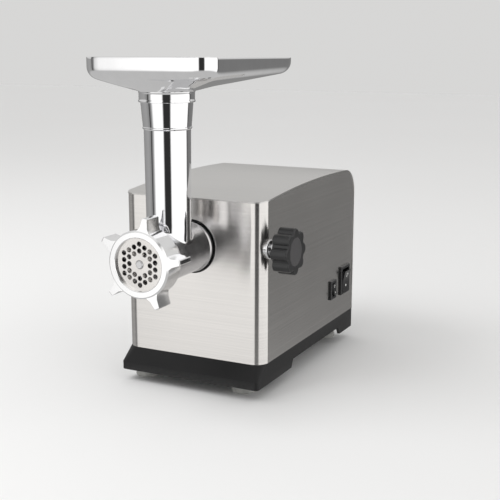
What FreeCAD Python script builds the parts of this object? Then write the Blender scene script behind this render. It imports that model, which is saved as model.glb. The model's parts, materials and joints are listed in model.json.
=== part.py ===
"""Electric meat grinder: a steel-cased motor unit on a black base, with a polished grinding head,
a feed tube and a food tray.

Frame: millimetres, +Z up, -Y towards the grinding head, +X towards the clamp knob. The pieces are built
round a point between the four feet, on the surface they stand on, and then moved so that the origin is the
bottom centre of the whole object's box.
"""

import FreeCAD
import Part
import math
import os

V = FreeCAD.Vector
OUT = "parts"

# ---------------------------------------------------------------- driving sizes

# Case
body_w = 156.0          # width of the steel case
body_d = 242.0          # depth of the steel case
seam_z = 33.8           # height where the steel meets the base
front_top_z = 194.0     # top of the case at its front edge
crown_rise = 8.2        # how far the curved top rises above its front edge
rear_rise = 5.4         # how far the top's rear end is above its front edge
rear_round_r = 28.0     # round between the top and the rear
corner_r = 13.5         # vertical front corners
sheet_t = 1.0           # steel wrap
cover_t = 1.2           # top and rear cover
cover_proud = 0.4       # the cover stands out past the wrap
rim_h = 4.0             # the base's inner rim, inside the wrap

# Base
lip_out = 11.0          # the front lip stands out from the steel
lip_top_z = 20.0
lip_corner_r = 4.0
base_bottom_z = 12.0
arch_z = 20.5           # underside between the front and rear pads
front_pad_d = 68.0      # depth of the front pad, from the steel's front
rear_pad_d = 37.0
base_wall = 3.0
foot_r = 12.5
foot_left_x = -63.5     # the feet are not quite central under the case
foot_right_x = 49.5
foot_inset_y = 16.2     # foot centre to the case's front or rear
boss_margin = 1.2       # the boss over a foot is this much wider

# Grinding head
axis_z = 146.0          # height of the grinding axis
shank_r = 25.0          # the part of the barrel that goes into the case
shank_len = 24.0
shank_clear = 0.3
barrel_r = 24.3         # outside, between the case and the ring nut
chamber_r = 21.8        # inside, round the auger
thread_r = 28.8         # outside of the barrel's threaded front
head_len = 96.0         # from the case's front to the ring nut's front
neck_back = 41.0        # feed tube's axis, ahead of the case's front

# Plate, knife and ring nut
plate_r = 26.0
plate_t = 5.0
plate_hole_r = 2.3
plate_pitch = 6.3
pin_r = 3.8
pin_clear = 0.2
knife_t = 7.0
nut_r = 31.4
nut_len = 23.0
nut_lip_t = 3.0
nut_mouth_r = 24.6
nut_thread_clear = 0.35
lug_reach = 12.0
lug_count = 5
lug_first_deg = 8.0

# Feed tube
feed_bore_r = 18.0
tube_wall = 3.0         # at the foot of the tube
tube_top_z = 294.0
bead_z = 264.2
throat_flare_z = 184.0  # the tube's bore widens below here, towards the auger
throat_r = 19.2         # its radius at the auger's chamber
cone_flare = 2.5        # the tube's top end is this much wider than its middle

# Tray
tray_half_w = 67.0
tray_front = 40.7       # from the tube's axis forwards
tray_rear = 150.0       # from the tube's axis backwards
tray_rim_z = 328.5
tray_rear_drop = 2.0    # the rim falls this much from front to rear
tray_foot_rise = 4.0    # the wall's foot rises this much from front to rear
tray_wall_h = 9.5       # upright part of the wall, at the front
tray_round_r = 12.0     # round between wall and floor
tray_corner_r = 17.0
tray_rear_corner_r = 30.0
tray_t = 1.5
collar_h = 10.0
collar_t = 1.2
collar_clear = 0.3

# Clamp screw
clamp_back = 13.4       # screw axis behind the case's front
clamp_z = 147.6
screw_r = 5.0
screw_clear = 0.2
knob_r = 22.7
knob_t = 17.5
knob_gap = 11.0         # from the case's side to the knob
knob_lobes = 8
pad_t = 4.0

# Switches, on the clamp knob's side, near the rear
main_switch_y = 93.5
main_switch_z = 75.0
main_switch_w = 26.0
main_switch_h = 33.0
small_switch_y = 58.0
small_switch_z = 70.4
small_switch_w = 15.5
small_switch_h = 21.5
main_switch_depth = 20.0
small_switch_depth = 15.0
bezel_t = 2.6
rocker_tilt = 7.0       # degrees each way
switch_wall = 3.4       # from a bezel's edge to the pocket that its rocker tilts in
rocker_end_gap = 1.0    # between a rocker's ends and its pocket
rocker_side_gap = 0.4
rocker_rise = 1.9       # a rocker's ends stand this far above its bezel
rocker_dip = 0.5        # and its middle this far

# Gears: teeth and module of each stage, from the motor to the auger
motor_pinion_n = 9
first_gear_n = 60
first_module = 1.0
first_pinion_n = 12
second_gear_n = 52
second_module = 1.25
second_pinion_n = 12
output_gear_n = 48
output_module = 1.5
pressure_deg = 25.0
addendum = 0.8
dedendum = 1.05
backlash = 0.12         # at the pitch circle, shared by the two flanks

# Gear case and motor
case_half_w = 57.0
case_bottom_z = 44.0
case_top_gap = 6.0      # from the case's top to the housing's front top edge
case_wall = 3.0
case_plate_t = 4.0
running = 0.05          # radial clearance of shafts in bushes
drive_square = 10.0
drive_clear = 0.25
motor_shaft_r = 4.0
armature_r = 22.4
air_gap = 0.6
stator_half = 38.0
fixed_inside = 192.0    # what the depth of the case holds besides the stator's stack

# Cord entry and rear vents
gland_x = -44.0
gland_z = 52.0
gland_bore_r = 3.6
gland_r = 8.0
gland_out = 9.0
vent_slots = 9
vent_pitch = 8.0
vent_h = 30.0
vent_w = 3.2

# ---------------------------------------------------------------- places worked out from them

front_y = -body_d / 2
rear_y = body_d / 2
side_x = body_w / 2
inner_side_x = side_x - sheet_t
rear_top_z = front_top_z + rear_rise
crown_z = front_top_z + crown_rise
nut_front_y = front_y - head_len
nut_rear_y = nut_front_y + nut_len
plate_front_y = nut_front_y + nut_lip_t
plate_rear_y = plate_front_y + plate_t
knife_rear_y = plate_rear_y + knife_t
neck_y = front_y - neck_back
clamp_y = front_y + clamp_back
socket_r = shank_r + shank_clear
floor_top_z = arch_z + base_wall
shank_rear_y = front_y + shank_len
tube_low_r = feed_bore_r + tube_wall
tube_mid_r = tube_low_r + 0.7
tube_top_r = tube_mid_r + cone_flare
collar_in_r = tube_top_r + collar_clear
collar_r = collar_in_r + collar_t
collar_top_z = tube_top_z + 4.0
seat_clear = 0.2
socket_wall = 6.5
main_switch = (main_switch_y, main_switch_z, main_switch_w, main_switch_h)
small_switch = (small_switch_y, small_switch_z, small_switch_w, small_switch_h)
trim_r = socket_r + 1.7
stack_len = body_d - fixed_inside

# Planes along Y inside the gear case, counted from the socket's rear end
case_front_y = shank_rear_y + 2.0
case_in_y = case_front_y + case_plate_t
output_y0 = case_in_y + 5.0
output_y1 = output_y0 + 14.0
second_y0 = output_y1 + 4.0
second_y1 = second_y0 + 8.0
first_y0 = second_y1 + 4.0
first_y1 = first_y0 + 8.0
case_back_y = first_y1 + 12.0
case_end_y = case_back_y + case_plate_t
fan_y0 = case_end_y + 3.0
fan_y1 = fan_y0 + 13.0
stack_y0 = fan_y1 + 12.0
stack_y1 = stack_y0 + stack_len
comm_y0 = stack_y1 + 14.0
comm_y1 = comm_y0 + 14.0
bracket_y0 = comm_y1 + 5.0
bracket_y1 = bracket_y0 + 9.0
case_top_z = front_top_z - case_top_gap

# Gear axes, as (x, z)
output_axis = (0.0, axis_z)


def below(axis, distance, dx):
    """The point at that distance from an axis, dx to the side and lower."""
    return (axis[0] + dx, axis[1] - math.sqrt(distance ** 2 - dx ** 2))


output_centres = output_module * (output_gear_n + second_pinion_n) / 2
second_centres = second_module * (second_gear_n + first_pinion_n) / 2
first_centres = first_module * (first_gear_n + motor_pinion_n) / 2
second_axis = below(output_axis, output_centres, -0.4 * output_centres)
first_axis = below(second_axis, second_centres, 0.95 * second_centres)
motor_axis = below(first_axis, first_centres, -0.985 * first_centres)

# From the point between the feet to the bottom centre of the whole object's box
box_x = (side_x + knob_gap + knob_t - side_x - cover_proud) / 2
box_y = (nut_front_y + rear_y + gland_out) / 2

# ---------------------------------------------------------------- helpers


def box(x0, x1, y0, y1, z0, z1):
    """A block between two corners."""
    return Part.makeBox(x1 - x0, y1 - y0, z1 - z0, V(x0, y0, z0))


def cyl_x(r, x0, x1, y, z):
    """A cylinder along X."""
    return Part.makeCylinder(r, x1 - x0, V(x0, y, z), V(1, 0, 0))


def cyl_y(r, y0, y1, axis=(0.0, axis_z)):
    """A cylinder along Y, round an axis given as (x, z)."""
    return Part.makeCylinder(r, y1 - y0, V(axis[0], y0, axis[1]), V(0, 1, 0))


def cyl_z(r, z0, z1, x, y):
    """A cylinder along Z."""
    return Part.makeCylinder(r, z1 - z0, V(x, y, z0), V(0, 0, 1))


def ring_y(r_out, r_in, y0, y1, axis=(0.0, axis_z)):
    """A plain ring along Y."""
    return cyl_y(r_out, y0, y1, axis).cut(cyl_y(r_in, y0 - 1, y1 + 1, axis))


def turned_y(outline, axis=(0.0, axis_z)):
    """A solid turned round an axis along Y, from (radius, y) points."""
    pts = [V(axis[0] + r, y, axis[1]) for r, y in outline]
    face = Part.Face(Part.makePolygon(pts + pts[:1]))
    return face.revolve(V(axis[0], 0, axis[1]), V(0, 1, 0), 360)


def turned_z(outline, x, y):
    """A solid turned round an axis along Z, from (radius, z) points."""
    pts = [V(x + r, y, z) for r, z in outline]
    face = Part.Face(Part.makePolygon(pts + pts[:1]))
    return face.revolve(V(x, y, 0), V(0, 0, 1), 360)


def corner(cx, cy, r, start_deg, z, slope):
    """A quarter arc in plan, on a plane that rises by a slope along Y."""
    p = []
    for d in (0, 45, 90):
        a = math.radians(start_deg + d)
        y = cy + r * math.sin(a)
        p.append(V(cx + r * math.cos(a), y, z + slope * y))
    return p, Part.Arc(*p).toShape()


def plan_wire(x0, x1, y0, y1, r_front, r_rear, z, slope=0.0):
    """A rounded rectangle in plan, front (low y) and rear corners with their own radii."""
    corners = [
        corner(x0 + r_front, y0 + r_front, r_front, 180, z, slope),
        corner(x1 - r_front, y0 + r_front, r_front, 270, z, slope),
        corner(x1 - r_rear, y1 - r_rear, r_rear, 0, z, slope),
        corner(x0 + r_rear, y1 - r_rear, r_rear, 90, z, slope),
    ]
    edges = []
    for k, (pts, arc) in enumerate(corners):
        edges.append(arc)
        after = corners[(k + 1) % 4][0][0]
        edges.append(Part.makeLine(pts[2], after))
    return Part.Wire(edges)


def plan_solid(x0, x1, y0, y1, r_front, r_rear, z0, z1):
    """A rounded rectangle in plan, raised from z0 to z1."""
    face = Part.Face(plan_wire(x0, x1, y0, y1, r_front, r_rear, z0))
    return face.extrude(V(0, 0, z1 - z0))


def block_with_corners(x0, x1, y0, y1, z0, z1, r):
    """A block whose edges along Y are rounded."""
    solid = box(x0, x1, y0, y1, z0, z1)
    along = [e for e in solid.Edges if abs(e.tangentAt(e.FirstParameter).y) > 0.99]
    return solid.makeFillet(r, along)


def fuse_all(shapes):
    """One solid from several that touch."""
    whole = shapes[0].multiFuse(shapes[1:]) if len(shapes) > 1 else shapes[0]
    return whole.removeSplitter()


def export(name, shape):
    """Writes one node, whose solids have to be sound."""
    solids = shape.Solids
    sound = solids and all(s.isValid() and s.Volume > 0 for s in solids)
    if not sound:
        raise ValueError(f"{name} is not a sound solid")
    whole = solids[0] if len(solids) == 1 else Part.makeCompound(solids)
    whole.translate(V(-box_x, -box_y, 0))
    whole.exportStep(os.path.join(OUT, name + ".step"))
    print(f"{name}: {len(solids)} solid(s), {whole.Volume / 1000:.2f} cm3")


# ---------------------------------------------------------------- case


def crown_circle():
    """The top's long arc, seen from the side: middle (y, z) and radius of the circle through three points."""
    (ya, za), (yb, zb), (yc, zc) = [
        (front_y, front_top_z), (front_y + 0.62 * body_d, crown_z), (rear_y, rear_top_z)]
    d = 2 * (ya * (zb - zc) + yb * (zc - za) + yc * (za - zb))
    sa, sb, sc = ya ** 2 + za ** 2, yb ** 2 + zb ** 2, yc ** 2 + zc ** 2
    y = (sa * (zb - zc) + sb * (zc - za) + sc * (za - zb)) / d
    z = (sa * (yc - yb) + sb * (ya - yc) + sc * (yb - ya)) / d
    return y, z, math.hypot(ya - y, za - z)


def side_profile(inset, z_low, front_extra=0.0):
    """The case's outline from the side, set in by a thickness at the top and rear, over the whole width."""
    y0, y1 = front_y - front_extra, rear_y - inset
    yc, zc, r = crown_circle()

    def on_arc(y):
        return V(0, y, zc + math.sqrt((r - inset) ** 2 - (y - yc) ** 2))

    p_front, p_rear = on_arc(y0), on_arc(y1)
    edges = [
        Part.Arc(p_front, on_arc((y0 + y1) / 2), p_rear).toShape(),
        Part.makeLine(p_rear, V(0, y1, z_low)),
        Part.makeLine(V(0, y1, z_low), V(0, y0, z_low)),
        Part.makeLine(V(0, y0, z_low), p_front),
    ]
    half = side_x + 10.0
    solid = Part.Face(Part.Wire(edges)).extrude(V(2 * half, 0, 0))
    solid.translate(V(-half, 0, 0))
    rear_edge = [
        e for e in solid.Edges
        if all(abs(v.Y - y1) < 1e-3 and v.Z > front_top_z - inset - 1 for v in e.Vertexes)
        and e.Length > half
    ]
    return solid.makeFillet(rear_round_r - inset, rear_edge)


def switch_window(y, z, w, h):
    """The cut in the case's side for a switch's body."""
    return box(side_x - 5, side_x + 5, y - w / 2 + 1.6, y + w / 2 - 1.6, z - h / 2 + 1.6, z + h / 2 - 1.6)


def make_steel_wrap():
    """Front and sides: one bent sheet with round front corners, open at the rear."""
    low = seam_z + 0.05
    outer = plan_solid(-side_x, side_x, front_y, rear_y + 40, corner_r, 5, low, crown_z + 20)
    inner = plan_solid(-inner_side_x, inner_side_x, front_y + sheet_t, rear_y + 60,
                       corner_r - sheet_t, 5, low - 1, crown_z + 21)
    under_cover = side_profile(cover_t + 0.05, low - 2, front_extra=5)
    wrap = outer.cut(inner).common(under_cover)
    holes = [
        cyl_y(trim_r, front_y - 2, front_y + 5),
        cyl_x(screw_r + 3.2, side_x - 5, side_x + 5, clamp_y, clamp_z),
        switch_window(*main_switch),
        switch_window(*small_switch),
    ]
    return wrap.cut(holes)


def make_top_cover():
    """Top and rear: one sheet that lies on the wrap and bends down at the rear, with vents and cord hole."""
    outer = side_profile(0, seam_z + 0.2)
    inner = side_profile(cover_t, seam_z - 5, front_extra=20)
    strip = outer.cut(inner)
    x = side_x + cover_proud
    plan = plan_solid(-x, x, front_y - cover_proud, rear_y + 5, corner_r + cover_proud, 2,
                      seam_z - 1, crown_z + 5)
    cuts = [cyl_y(gland_r - 2.0, rear_y - 5, rear_y + 5, (gland_x, gland_z))]
    for k in range(vent_slots):
        x0 = (k - (vent_slots - 1) / 2) * vent_pitch + 14
        cuts.append(box(x0 - vent_w / 2, x0 + vent_w / 2, rear_y - 5, rear_y + 5, gland_z - 8,
                        gland_z - 8 + vent_h))
    return strip.common(plan).cut(cuts)


def base_shell(inset, z_low):
    """The base's outer form, or the same set in by a wall: an upright lip, then a slope back to the steel."""
    x = side_x - inset
    rear = rear_y + 60
    low = plan_wire(-x, x, front_y - lip_out + inset, rear, lip_corner_r - inset, 5, lip_top_z)
    high = plan_wire(-x, x, front_y + inset, rear, corner_r - inset, 5, seam_z)
    slope = Part.makeLoft([low, high], True, True)
    lip = Part.Face(low).extrude(V(0, 0, z_low - lip_top_z))
    keep = box(-side_x - 5, side_x + 5, front_y - 50, rear_y - inset, z_low - 1, seam_z + 1)
    return slope.fuse(lip).common(keep).removeSplitter()


def foot_places():
    """The four feet's centres, named as a user at the front would."""
    y = body_d / 2 - foot_inset_y
    return {
        "foot_front_left": (foot_left_x, -y), "foot_front_right": (foot_right_x, -y),
        "foot_rear_left": (foot_left_x, y), "foot_rear_right": (foot_right_x, y),
    }


def make_base():
    """Black base: outer skirt, floor with vents, arches between the pads, and a boss over each foot."""
    outer = base_shell(0, base_bottom_z)
    arch_y0 = front_y + front_pad_d
    arch_y1 = rear_y - rear_pad_d
    slope = 5.0
    pts = [
        V(-200, arch_y0, base_bottom_z - 1), V(-200, arch_y0 + slope, arch_z),
        V(-200, arch_y1 - slope, arch_z), V(-200, arch_y1, base_bottom_z - 1),
    ]
    arch = Part.Face(Part.makePolygon(pts + pts[:1])).extrude(V(400, 0, 0))
    body = outer.cut(arch)
    upper = base_shell(base_wall, base_bottom_z).common(
        box(-300, 300, -300, 300, floor_top_z, seam_z + 5))
    under = plan_solid(-side_x + base_wall, side_x - base_wall, front_y - lip_out + base_wall,
                       rear_y - base_wall, 6, 3, base_bottom_z - 1, arch_z)
    body = body.cut([upper, under])
    feet = foot_places().values()
    bosses = [cyl_z(foot_r + boss_margin, base_bottom_z, floor_top_z - 0.5, x, y) for x, y in feet]
    inset = sheet_t + 0.15
    rim = plan_solid(-side_x + inset, side_x - inset, front_y + inset, rear_y - cover_t - 0.15,
                     corner_r - inset, 4, seam_z - 4, seam_z + rim_h)
    hollow = plan_solid(-side_x + base_wall, side_x - base_wall, front_y + base_wall, rear_y - base_wall,
                        corner_r - base_wall, 3, seam_z - 5, seam_z + rim_h + 1)
    body = fuse_all([body, rim.cut(hollow)] + bosses)
    cuts = [cyl_z(2.2, base_bottom_z - 1, floor_top_z + 2, x, y) for x, y in feet]
    for k in range(vent_slots):
        x0 = (k - (vent_slots - 1) / 2) * vent_pitch
        cuts.append(box(x0 - 1.6, x0 + 1.6, 20, 60, arch_z - 1, floor_top_z + 1))
    return body.cut(cuts)


def make_foot(x, y):
    """Rubber foot, a little wider at the floor, with a recess for its screw."""
    outline = [
        (0, 3.0), (4.2, 3.0), (4.2, 0), (foot_r - 1.2, 0), (foot_r, 1.2),
        (foot_r - 1.0, base_bottom_z - 0.2), (0, base_bottom_z - 0.2),
    ]
    return turned_z(outline, x, y).cut(cyl_z(2.2, -1, base_bottom_z + 1, x, y))


def make_foot_screws():
    """One screw up through each foot into the base's boss."""
    screws = []
    for x, y in foot_places().values():
        head = cyl_z(3.8, 0.8, 2.8, x, y)
        shank = cyl_z(1.9, 2.8, floor_top_z - 1, x, y)
        screws.append(head.fuse(shank).removeSplitter())
    return Part.makeCompound(screws)


def make_socket_trim():
    """Black ring that lines the steel's hole round the barrel."""
    return turned_y([
        (shank_r + 0.5, front_y + 0.4), (trim_r - 0.1, front_y + 0.4),
        (trim_r - 0.1, front_y + sheet_t + 0.1), (trim_r + 3, front_y + sheet_t + 0.1),
        (trim_r + 3, front_y + sheet_t + 1.5),
        (shank_r + 0.5, front_y + sheet_t + 1.5),
    ])


def make_cord_gland():
    """Flanged bush in the rear cover that the mains cord comes out of."""
    axis = (gland_x, gland_z)
    r_hole = gland_r - 2.1
    gland = turned_y([
        (gland_bore_r, rear_y - 6), (r_hole, rear_y - 6), (r_hole, rear_y + 0.05), (gland_r, rear_y + 0.05),
        (gland_r, rear_y + 2.5), (gland_r - 2.4, rear_y + gland_out), (gland_bore_r, rear_y + gland_out),
    ], axis)
    return gland


def make_switch_case(y, z, w, h, depth):
    """A rocker switch's frame and body, pushed into the case's side from outside."""
    bezel = box(side_x + 0.05, side_x + bezel_t, y - w / 2, y + w / 2, z - h / 2, z + h / 2)
    front = [e for e in bezel.Edges if all(v.X > side_x + bezel_t - 0.01 for v in e.Vertexes)]
    bezel = bezel.makeChamfer(0.8, front)
    body = box(side_x - depth, side_x + 0.05, y - w / 2 + 1.9, y + w / 2 - 1.9,
               z - h / 2 + 1.9, z + h / 2 - 1.9)
    pocket = box(side_x - 8, side_x + 10, y - w / 2 + switch_wall, y + w / 2 - switch_wall,
                 z - h / 2 + switch_wall, z + h / 2 - switch_wall)
    tabs = [
        box(side_x - depth - 8, side_x - depth, y - 3, y - 2.2, z + k * h / 4 - 2.4, z + k * h / 4 + 2.4)
        for k in (-1, 0, 1)
    ]
    return fuse_all([bezel, body] + tabs).cut(pocket)


def make_rocker(y, z, w, h, tilt_deg):
    """A rocker with a shallow hollow in its face, tilted about its pin along Y."""
    hw, hh = w / 2 - switch_wall - rocker_side_gap, h / 2 - switch_wall - rocker_end_gap
    pivot = V(side_x - 3, y, z)
    pts = [
        V(side_x - 4.2, 0, z - hh * 0.7), V(side_x + bezel_t + rocker_rise, 0, z - hh),
        V(side_x + bezel_t + rocker_dip, 0, z), V(side_x + bezel_t + rocker_rise, 0, z + hh),
        V(side_x - 4.2, 0, z + hh * 0.7),
    ]
    edges = [
        Part.makeLine(pts[0], pts[1]), Part.Arc(pts[1], pts[2], pts[3]).toShape(),
        Part.makeLine(pts[3], pts[4]), Part.makeLine(pts[4], pts[0]),
    ]
    rocker = Part.Face(Part.Wire(edges)).extrude(V(0, 2 * hw, 0))
    rocker.translate(V(0, y - hw, 0))
    rocker = rocker.cut(Part.makeCylinder(1.3, w, V(pivot.x, y - w / 2, z), V(0, 1, 0)))
    rocker.rotate(pivot, V(0, 1, 0), tilt_deg)
    return rocker


def make_switch_pin(y, z, w):
    """The pin that a rocker turns on, held in the switch's body."""
    return Part.makeCylinder(1.2, w - 2 * switch_wall, V(side_x - 3, y - w / 2 + switch_wall, z), V(0, 1, 0))


# ---------------------------------------------------------------- clamp


def make_clamp_bush():
    """Flanged steel bush in the case's side, round the clamp screw."""
    bush = cyl_x(9.5, side_x + 0.05, side_x + 2.6, clamp_y, clamp_z)
    bush = bush.fuse(cyl_x(screw_r + 3.0, inner_side_x - 3, side_x + 0.1, clamp_y, clamp_z))
    edge = [e for e in bush.Edges if abs(e.BoundBox.XMin - side_x - 2.6) < 1e-3 and e.BoundBox.XLength < 1e-3]
    bush = bush.makeChamfer(0.6, edge)
    return bush.cut(cyl_x(screw_r + screw_clear, 0, side_x + 20, clamp_y, clamp_z))


def make_clamp_pad():
    """Soft metal pad at the screw's tip, that presses on the barrel's shank."""
    pad = cyl_x(screw_r - 0.2, socket_r + 0.1, socket_r + 0.1 + pad_t, clamp_y, clamp_z)
    return pad.cut(cyl_x(2.2, socket_r + pad_t - 1.9, socket_r + pad_t + 2, clamp_y, clamp_z))


def make_clamp_screw():
    """Screw from the pad out to the knob, with thread grooves where it runs in the socket's boss."""
    x0 = socket_r + 0.1 + pad_t + 0.1
    x1 = side_x + knob_gap + 12
    screw = fuse_all([
        cyl_x(screw_r, x0, x1, clamp_y, clamp_z),
        cyl_x(2.0, x0 - 1.6, x0 + 1, clamp_y, clamp_z),
        cyl_x(screw_r + 3.5, side_x + knob_gap - 2.5, side_x + knob_gap, clamp_y, clamp_z),
    ])
    grooves = []
    x = x0 + 3
    while x < inner_side_x - 6:
        groove = cyl_x(screw_r + 1, x, x + 0.6, clamp_y, clamp_z).cut(
            cyl_x(screw_r - 0.5, x - 1, x + 2, clamp_y, clamp_z))
        grooves.append(groove)
        x += 1.5
    return screw.cut(grooves)


def make_knob():
    """Black knob with round lobes, a recess in its face and a blind hole for the screw."""
    x0 = side_x + knob_gap
    x1 = x0 + knob_t
    lobe_r = 0.27 * knob_r
    place_r = knob_r - lobe_r
    lobes = [cyl_x(0.83 * knob_r, x0, x1, clamp_y, clamp_z)]
    for k in range(knob_lobes):
        a = 2 * math.pi * k / knob_lobes
        lobes.append(cyl_x(lobe_r, x0, x1, clamp_y + place_r * math.cos(a), clamp_z + place_r * math.sin(a)))
    knob = fuse_all(lobes)
    rims = [e for e in knob.Edges if e.BoundBox.XLength < 1e-3]
    knob = knob.makeChamfer(0.9, rims)
    recess = cyl_x(0.62 * knob_r, x1 - 1.6, x1 + 1, clamp_y, clamp_z)
    hole = cyl_x(screw_r, x0 - 1, x0 + 12, clamp_y, clamp_z)
    return knob.cut([recess, hole])


def make_knob_cap():
    """Disc that closes the knob's face."""
    x1 = side_x + knob_gap + knob_t
    cap = cyl_x(0.62 * knob_r - 0.1, x1 - 1.6, x1 - 0.2, clamp_y, clamp_z)
    return cap


# ---------------------------------------------------------------- grinding head


def make_grinder_body():
    """Polished casting: shank, barrel, threaded front and feed tube in one piece."""
    barrel = turned_y([
        (0, plate_front_y + 1.0), (thread_r, plate_front_y + 1.0), (thread_r, nut_rear_y + 0.5),
        (thread_r - 1.5, nut_rear_y + 4), (barrel_r, nut_rear_y + 12), (barrel_r, front_y - 6),
        (shank_r, front_y - 4), (shank_r, shank_rear_y - 1), (shank_r - 1, shank_rear_y), (0, shank_rear_y),
    ])
    tube = turned_z([
        (0, axis_z), (tube_low_r - 0.3, axis_z), (tube_low_r, axis_z + barrel_r), (tube_mid_r, bead_z - 1),
        (tube_mid_r + 1.1, bead_z), (tube_mid_r + 1.1, bead_z + 1.0), (tube_mid_r + 0.7, bead_z + 1.6),
        (tube_top_r, tube_top_z - 6), (tube_top_r, tube_top_z), (0, tube_top_z),
    ], 0, neck_y)
    body = barrel.fuse(tube).removeSplitter()
    seam = [
        e for e in body.Edges
        if e.BoundBox.ZMin > axis_z + 2 and e.BoundBox.ZMax < axis_z + thread_r + 8
        and e.BoundBox.XLength > tube_low_r and e.BoundBox.ZLength > 2
    ]
    if seam:
        body = body.makeFillet(1.5, seam)
    wall_y = neck_y + feed_bore_r + 5
    inside = turned_y([
        (0, plate_front_y), (plate_r + seat_clear, plate_front_y), (plate_r + seat_clear, plate_rear_y + 0.2),
        (plate_r - 1.2, plate_rear_y + 0.2), (plate_r - 1.2, knife_rear_y), (chamber_r, knife_rear_y),
        (chamber_r, wall_y), (0, wall_y),
    ])
    hollow_shank = cyl_y(shank_r - 4.5, wall_y + 10, shank_rear_y + 1)
    bush_hole = cyl_y(11.0, wall_y - 1, wall_y + 11)
    feed = turned_z([
        (0, axis_z), (throat_r, axis_z), (throat_r, axis_z + chamber_r), (feed_bore_r, throat_flare_z),
        (feed_bore_r, tube_top_z + 1), (0, tube_top_z + 1),
    ], 0, neck_y)
    key_slot = box(-1.6, 1.6, plate_front_y, plate_rear_y, axis_z - plate_r - 1.9, axis_z - plate_r + 1)
    return body.cut([inside, hollow_shank, bush_hole, feed, key_slot])


def make_barrel_bush():
    """Bronze bush for the auger's rear journal, in the barrel's inner wall."""
    wall_y = neck_y + feed_bore_r + 5
    return ring_y(11.0, 8.0 + running, wall_y + 0.2, wall_y + 9.8)


def make_plate_key():
    """Small pin that stops the plate from turning with the knife."""
    return box(-1.6, 1.6, plate_front_y + 1, plate_rear_y - 0.1, axis_z - plate_r - 1.9,
               axis_z - plate_r + 1.2)


def make_auger():
    """Feed screw with its knife square and pin at the front and its drive square at the rear."""
    wall_y = neck_y + feed_bore_r + 5
    y0, y1 = knife_rear_y + 0.3, wall_y - 2.2
    core = turned_y([(0, y0), (8.5, y0), (9.5, y0 + 3), (9.5, y1 - 4), (11.5, y1), (0, y1)])
    pitch = 21.0
    length = y1 - y0 - 7
    r_out = chamber_r - 0.6
    helix = Part.makeHelix(pitch, length, 9.0)
    profile = Part.makePolygon([
        V(8.0, 0, -2.4), V(r_out, 0, -1.2), V(r_out, 0, 1.2), V(8.0, 0, 2.4), V(8.0, 0, -2.4),
    ])
    flight = Part.Wire(helix.Edges).makePipeShell([profile], True, True)
    if flight.Volume < 0:
        flight.reverse()
    flight.rotate(V(0, 0, 0), V(1, 0, 0), -90)
    flight.translate(V(0, y0 + 2.5, axis_z))
    half = drive_square / 2
    square = box(-half, half, knife_rear_y - knife_t + 0.4, y0 + 1, axis_z - half, axis_z + half)
    pin = turned_y([
        (0, plate_front_y - 1.2), (pin_r - 0.8, plate_front_y - 1.2), (pin_r, plate_front_y - 0.4),
        (pin_r, plate_rear_y + 1), (0, plate_rear_y + 1),
    ])
    journal = cyl_y(8.0, y1 - 1, wall_y + 12)
    tail = box(-half, half, wall_y + 10, output_y0 + 8, axis_z - half, axis_z + half)
    return fuse_all([core, flight, square, pin, journal, tail])


def make_thrust_washer():
    """Nylon washer between the auger's rear shoulder and the barrel's wall."""
    wall_y = neck_y + feed_bore_r + 5
    return ring_y(13.0, 8.0 + running, wall_y - 2.1, wall_y - 0.1)


def make_knife():
    """Cross knife with four swept blades on a square hub."""
    y0, y1 = plate_rear_y + 0.1, knife_rear_y - 0.1
    reach = plate_r - 2.2
    blade = Part.Face(Part.makePolygon([
        V(-3.8, y0, 0), V(3.2, y0, 0), V(4.4, y0, reach * 0.6), V(3.6, y0, reach),
        V(-1.0, y0, reach), V(-2.6, y0, reach * 0.6), V(-3.8, y0, 0),
    ])).extrude(V(0, y1 - y0, 0))
    blade.translate(V(0, 0, axis_z))
    blades = [cyl_y(9.5, y0, y1)]
    for k in range(4):
        turned = blade.copy()
        turned.rotate(V(0, 0, axis_z), V(0, 1, 0), 45 + 90 * k)
        blades.append(turned)
    half = drive_square / 2 + 0.12
    relief = ring_y(reach + 2, 10.5, y0 + 3.4, y1 + 1)
    return fuse_all(blades).cut([
        box(-half, half, y0 - 1, y1 + 1, axis_z - half, axis_z + half), relief])


def hex_ring(n):
    """Points of the n-th ring of a hexagonal grid with a corner straight up, as (x, z) steps."""
    corners = [(math.sin(k * math.pi / 3) * n, math.cos(k * math.pi / 3) * n) for k in range(6)]
    points = []
    for k in range(6):
        (ax, az), (bx, bz) = corners[k], corners[(k + 1) % 6]
        for s in range(n):
            points.append((ax + (bx - ax) * s / n, az + (bz - az) * s / n))
    return points


def make_hole_plate():
    """Round plate with two hexagonal rings of holes, a pin hole and a key notch."""
    plate = cyl_y(plate_r, plate_front_y, plate_rear_y)
    holes = [cyl_y(pin_r + pin_clear, plate_front_y - 1, plate_rear_y + 1)]
    for x, z in hex_ring(2) + hex_ring(3):
        axis = (x * plate_pitch, axis_z + z * plate_pitch)
        holes.append(cyl_y(plate_hole_r, plate_front_y - 1, plate_rear_y + 1, axis))
    holes.append(box(-2.0, 2.0, plate_front_y - 1, plate_rear_y + 1, axis_z - plate_r - 1,
                     axis_z - plate_r + 1.5))
    return plate.cut(holes)


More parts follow.
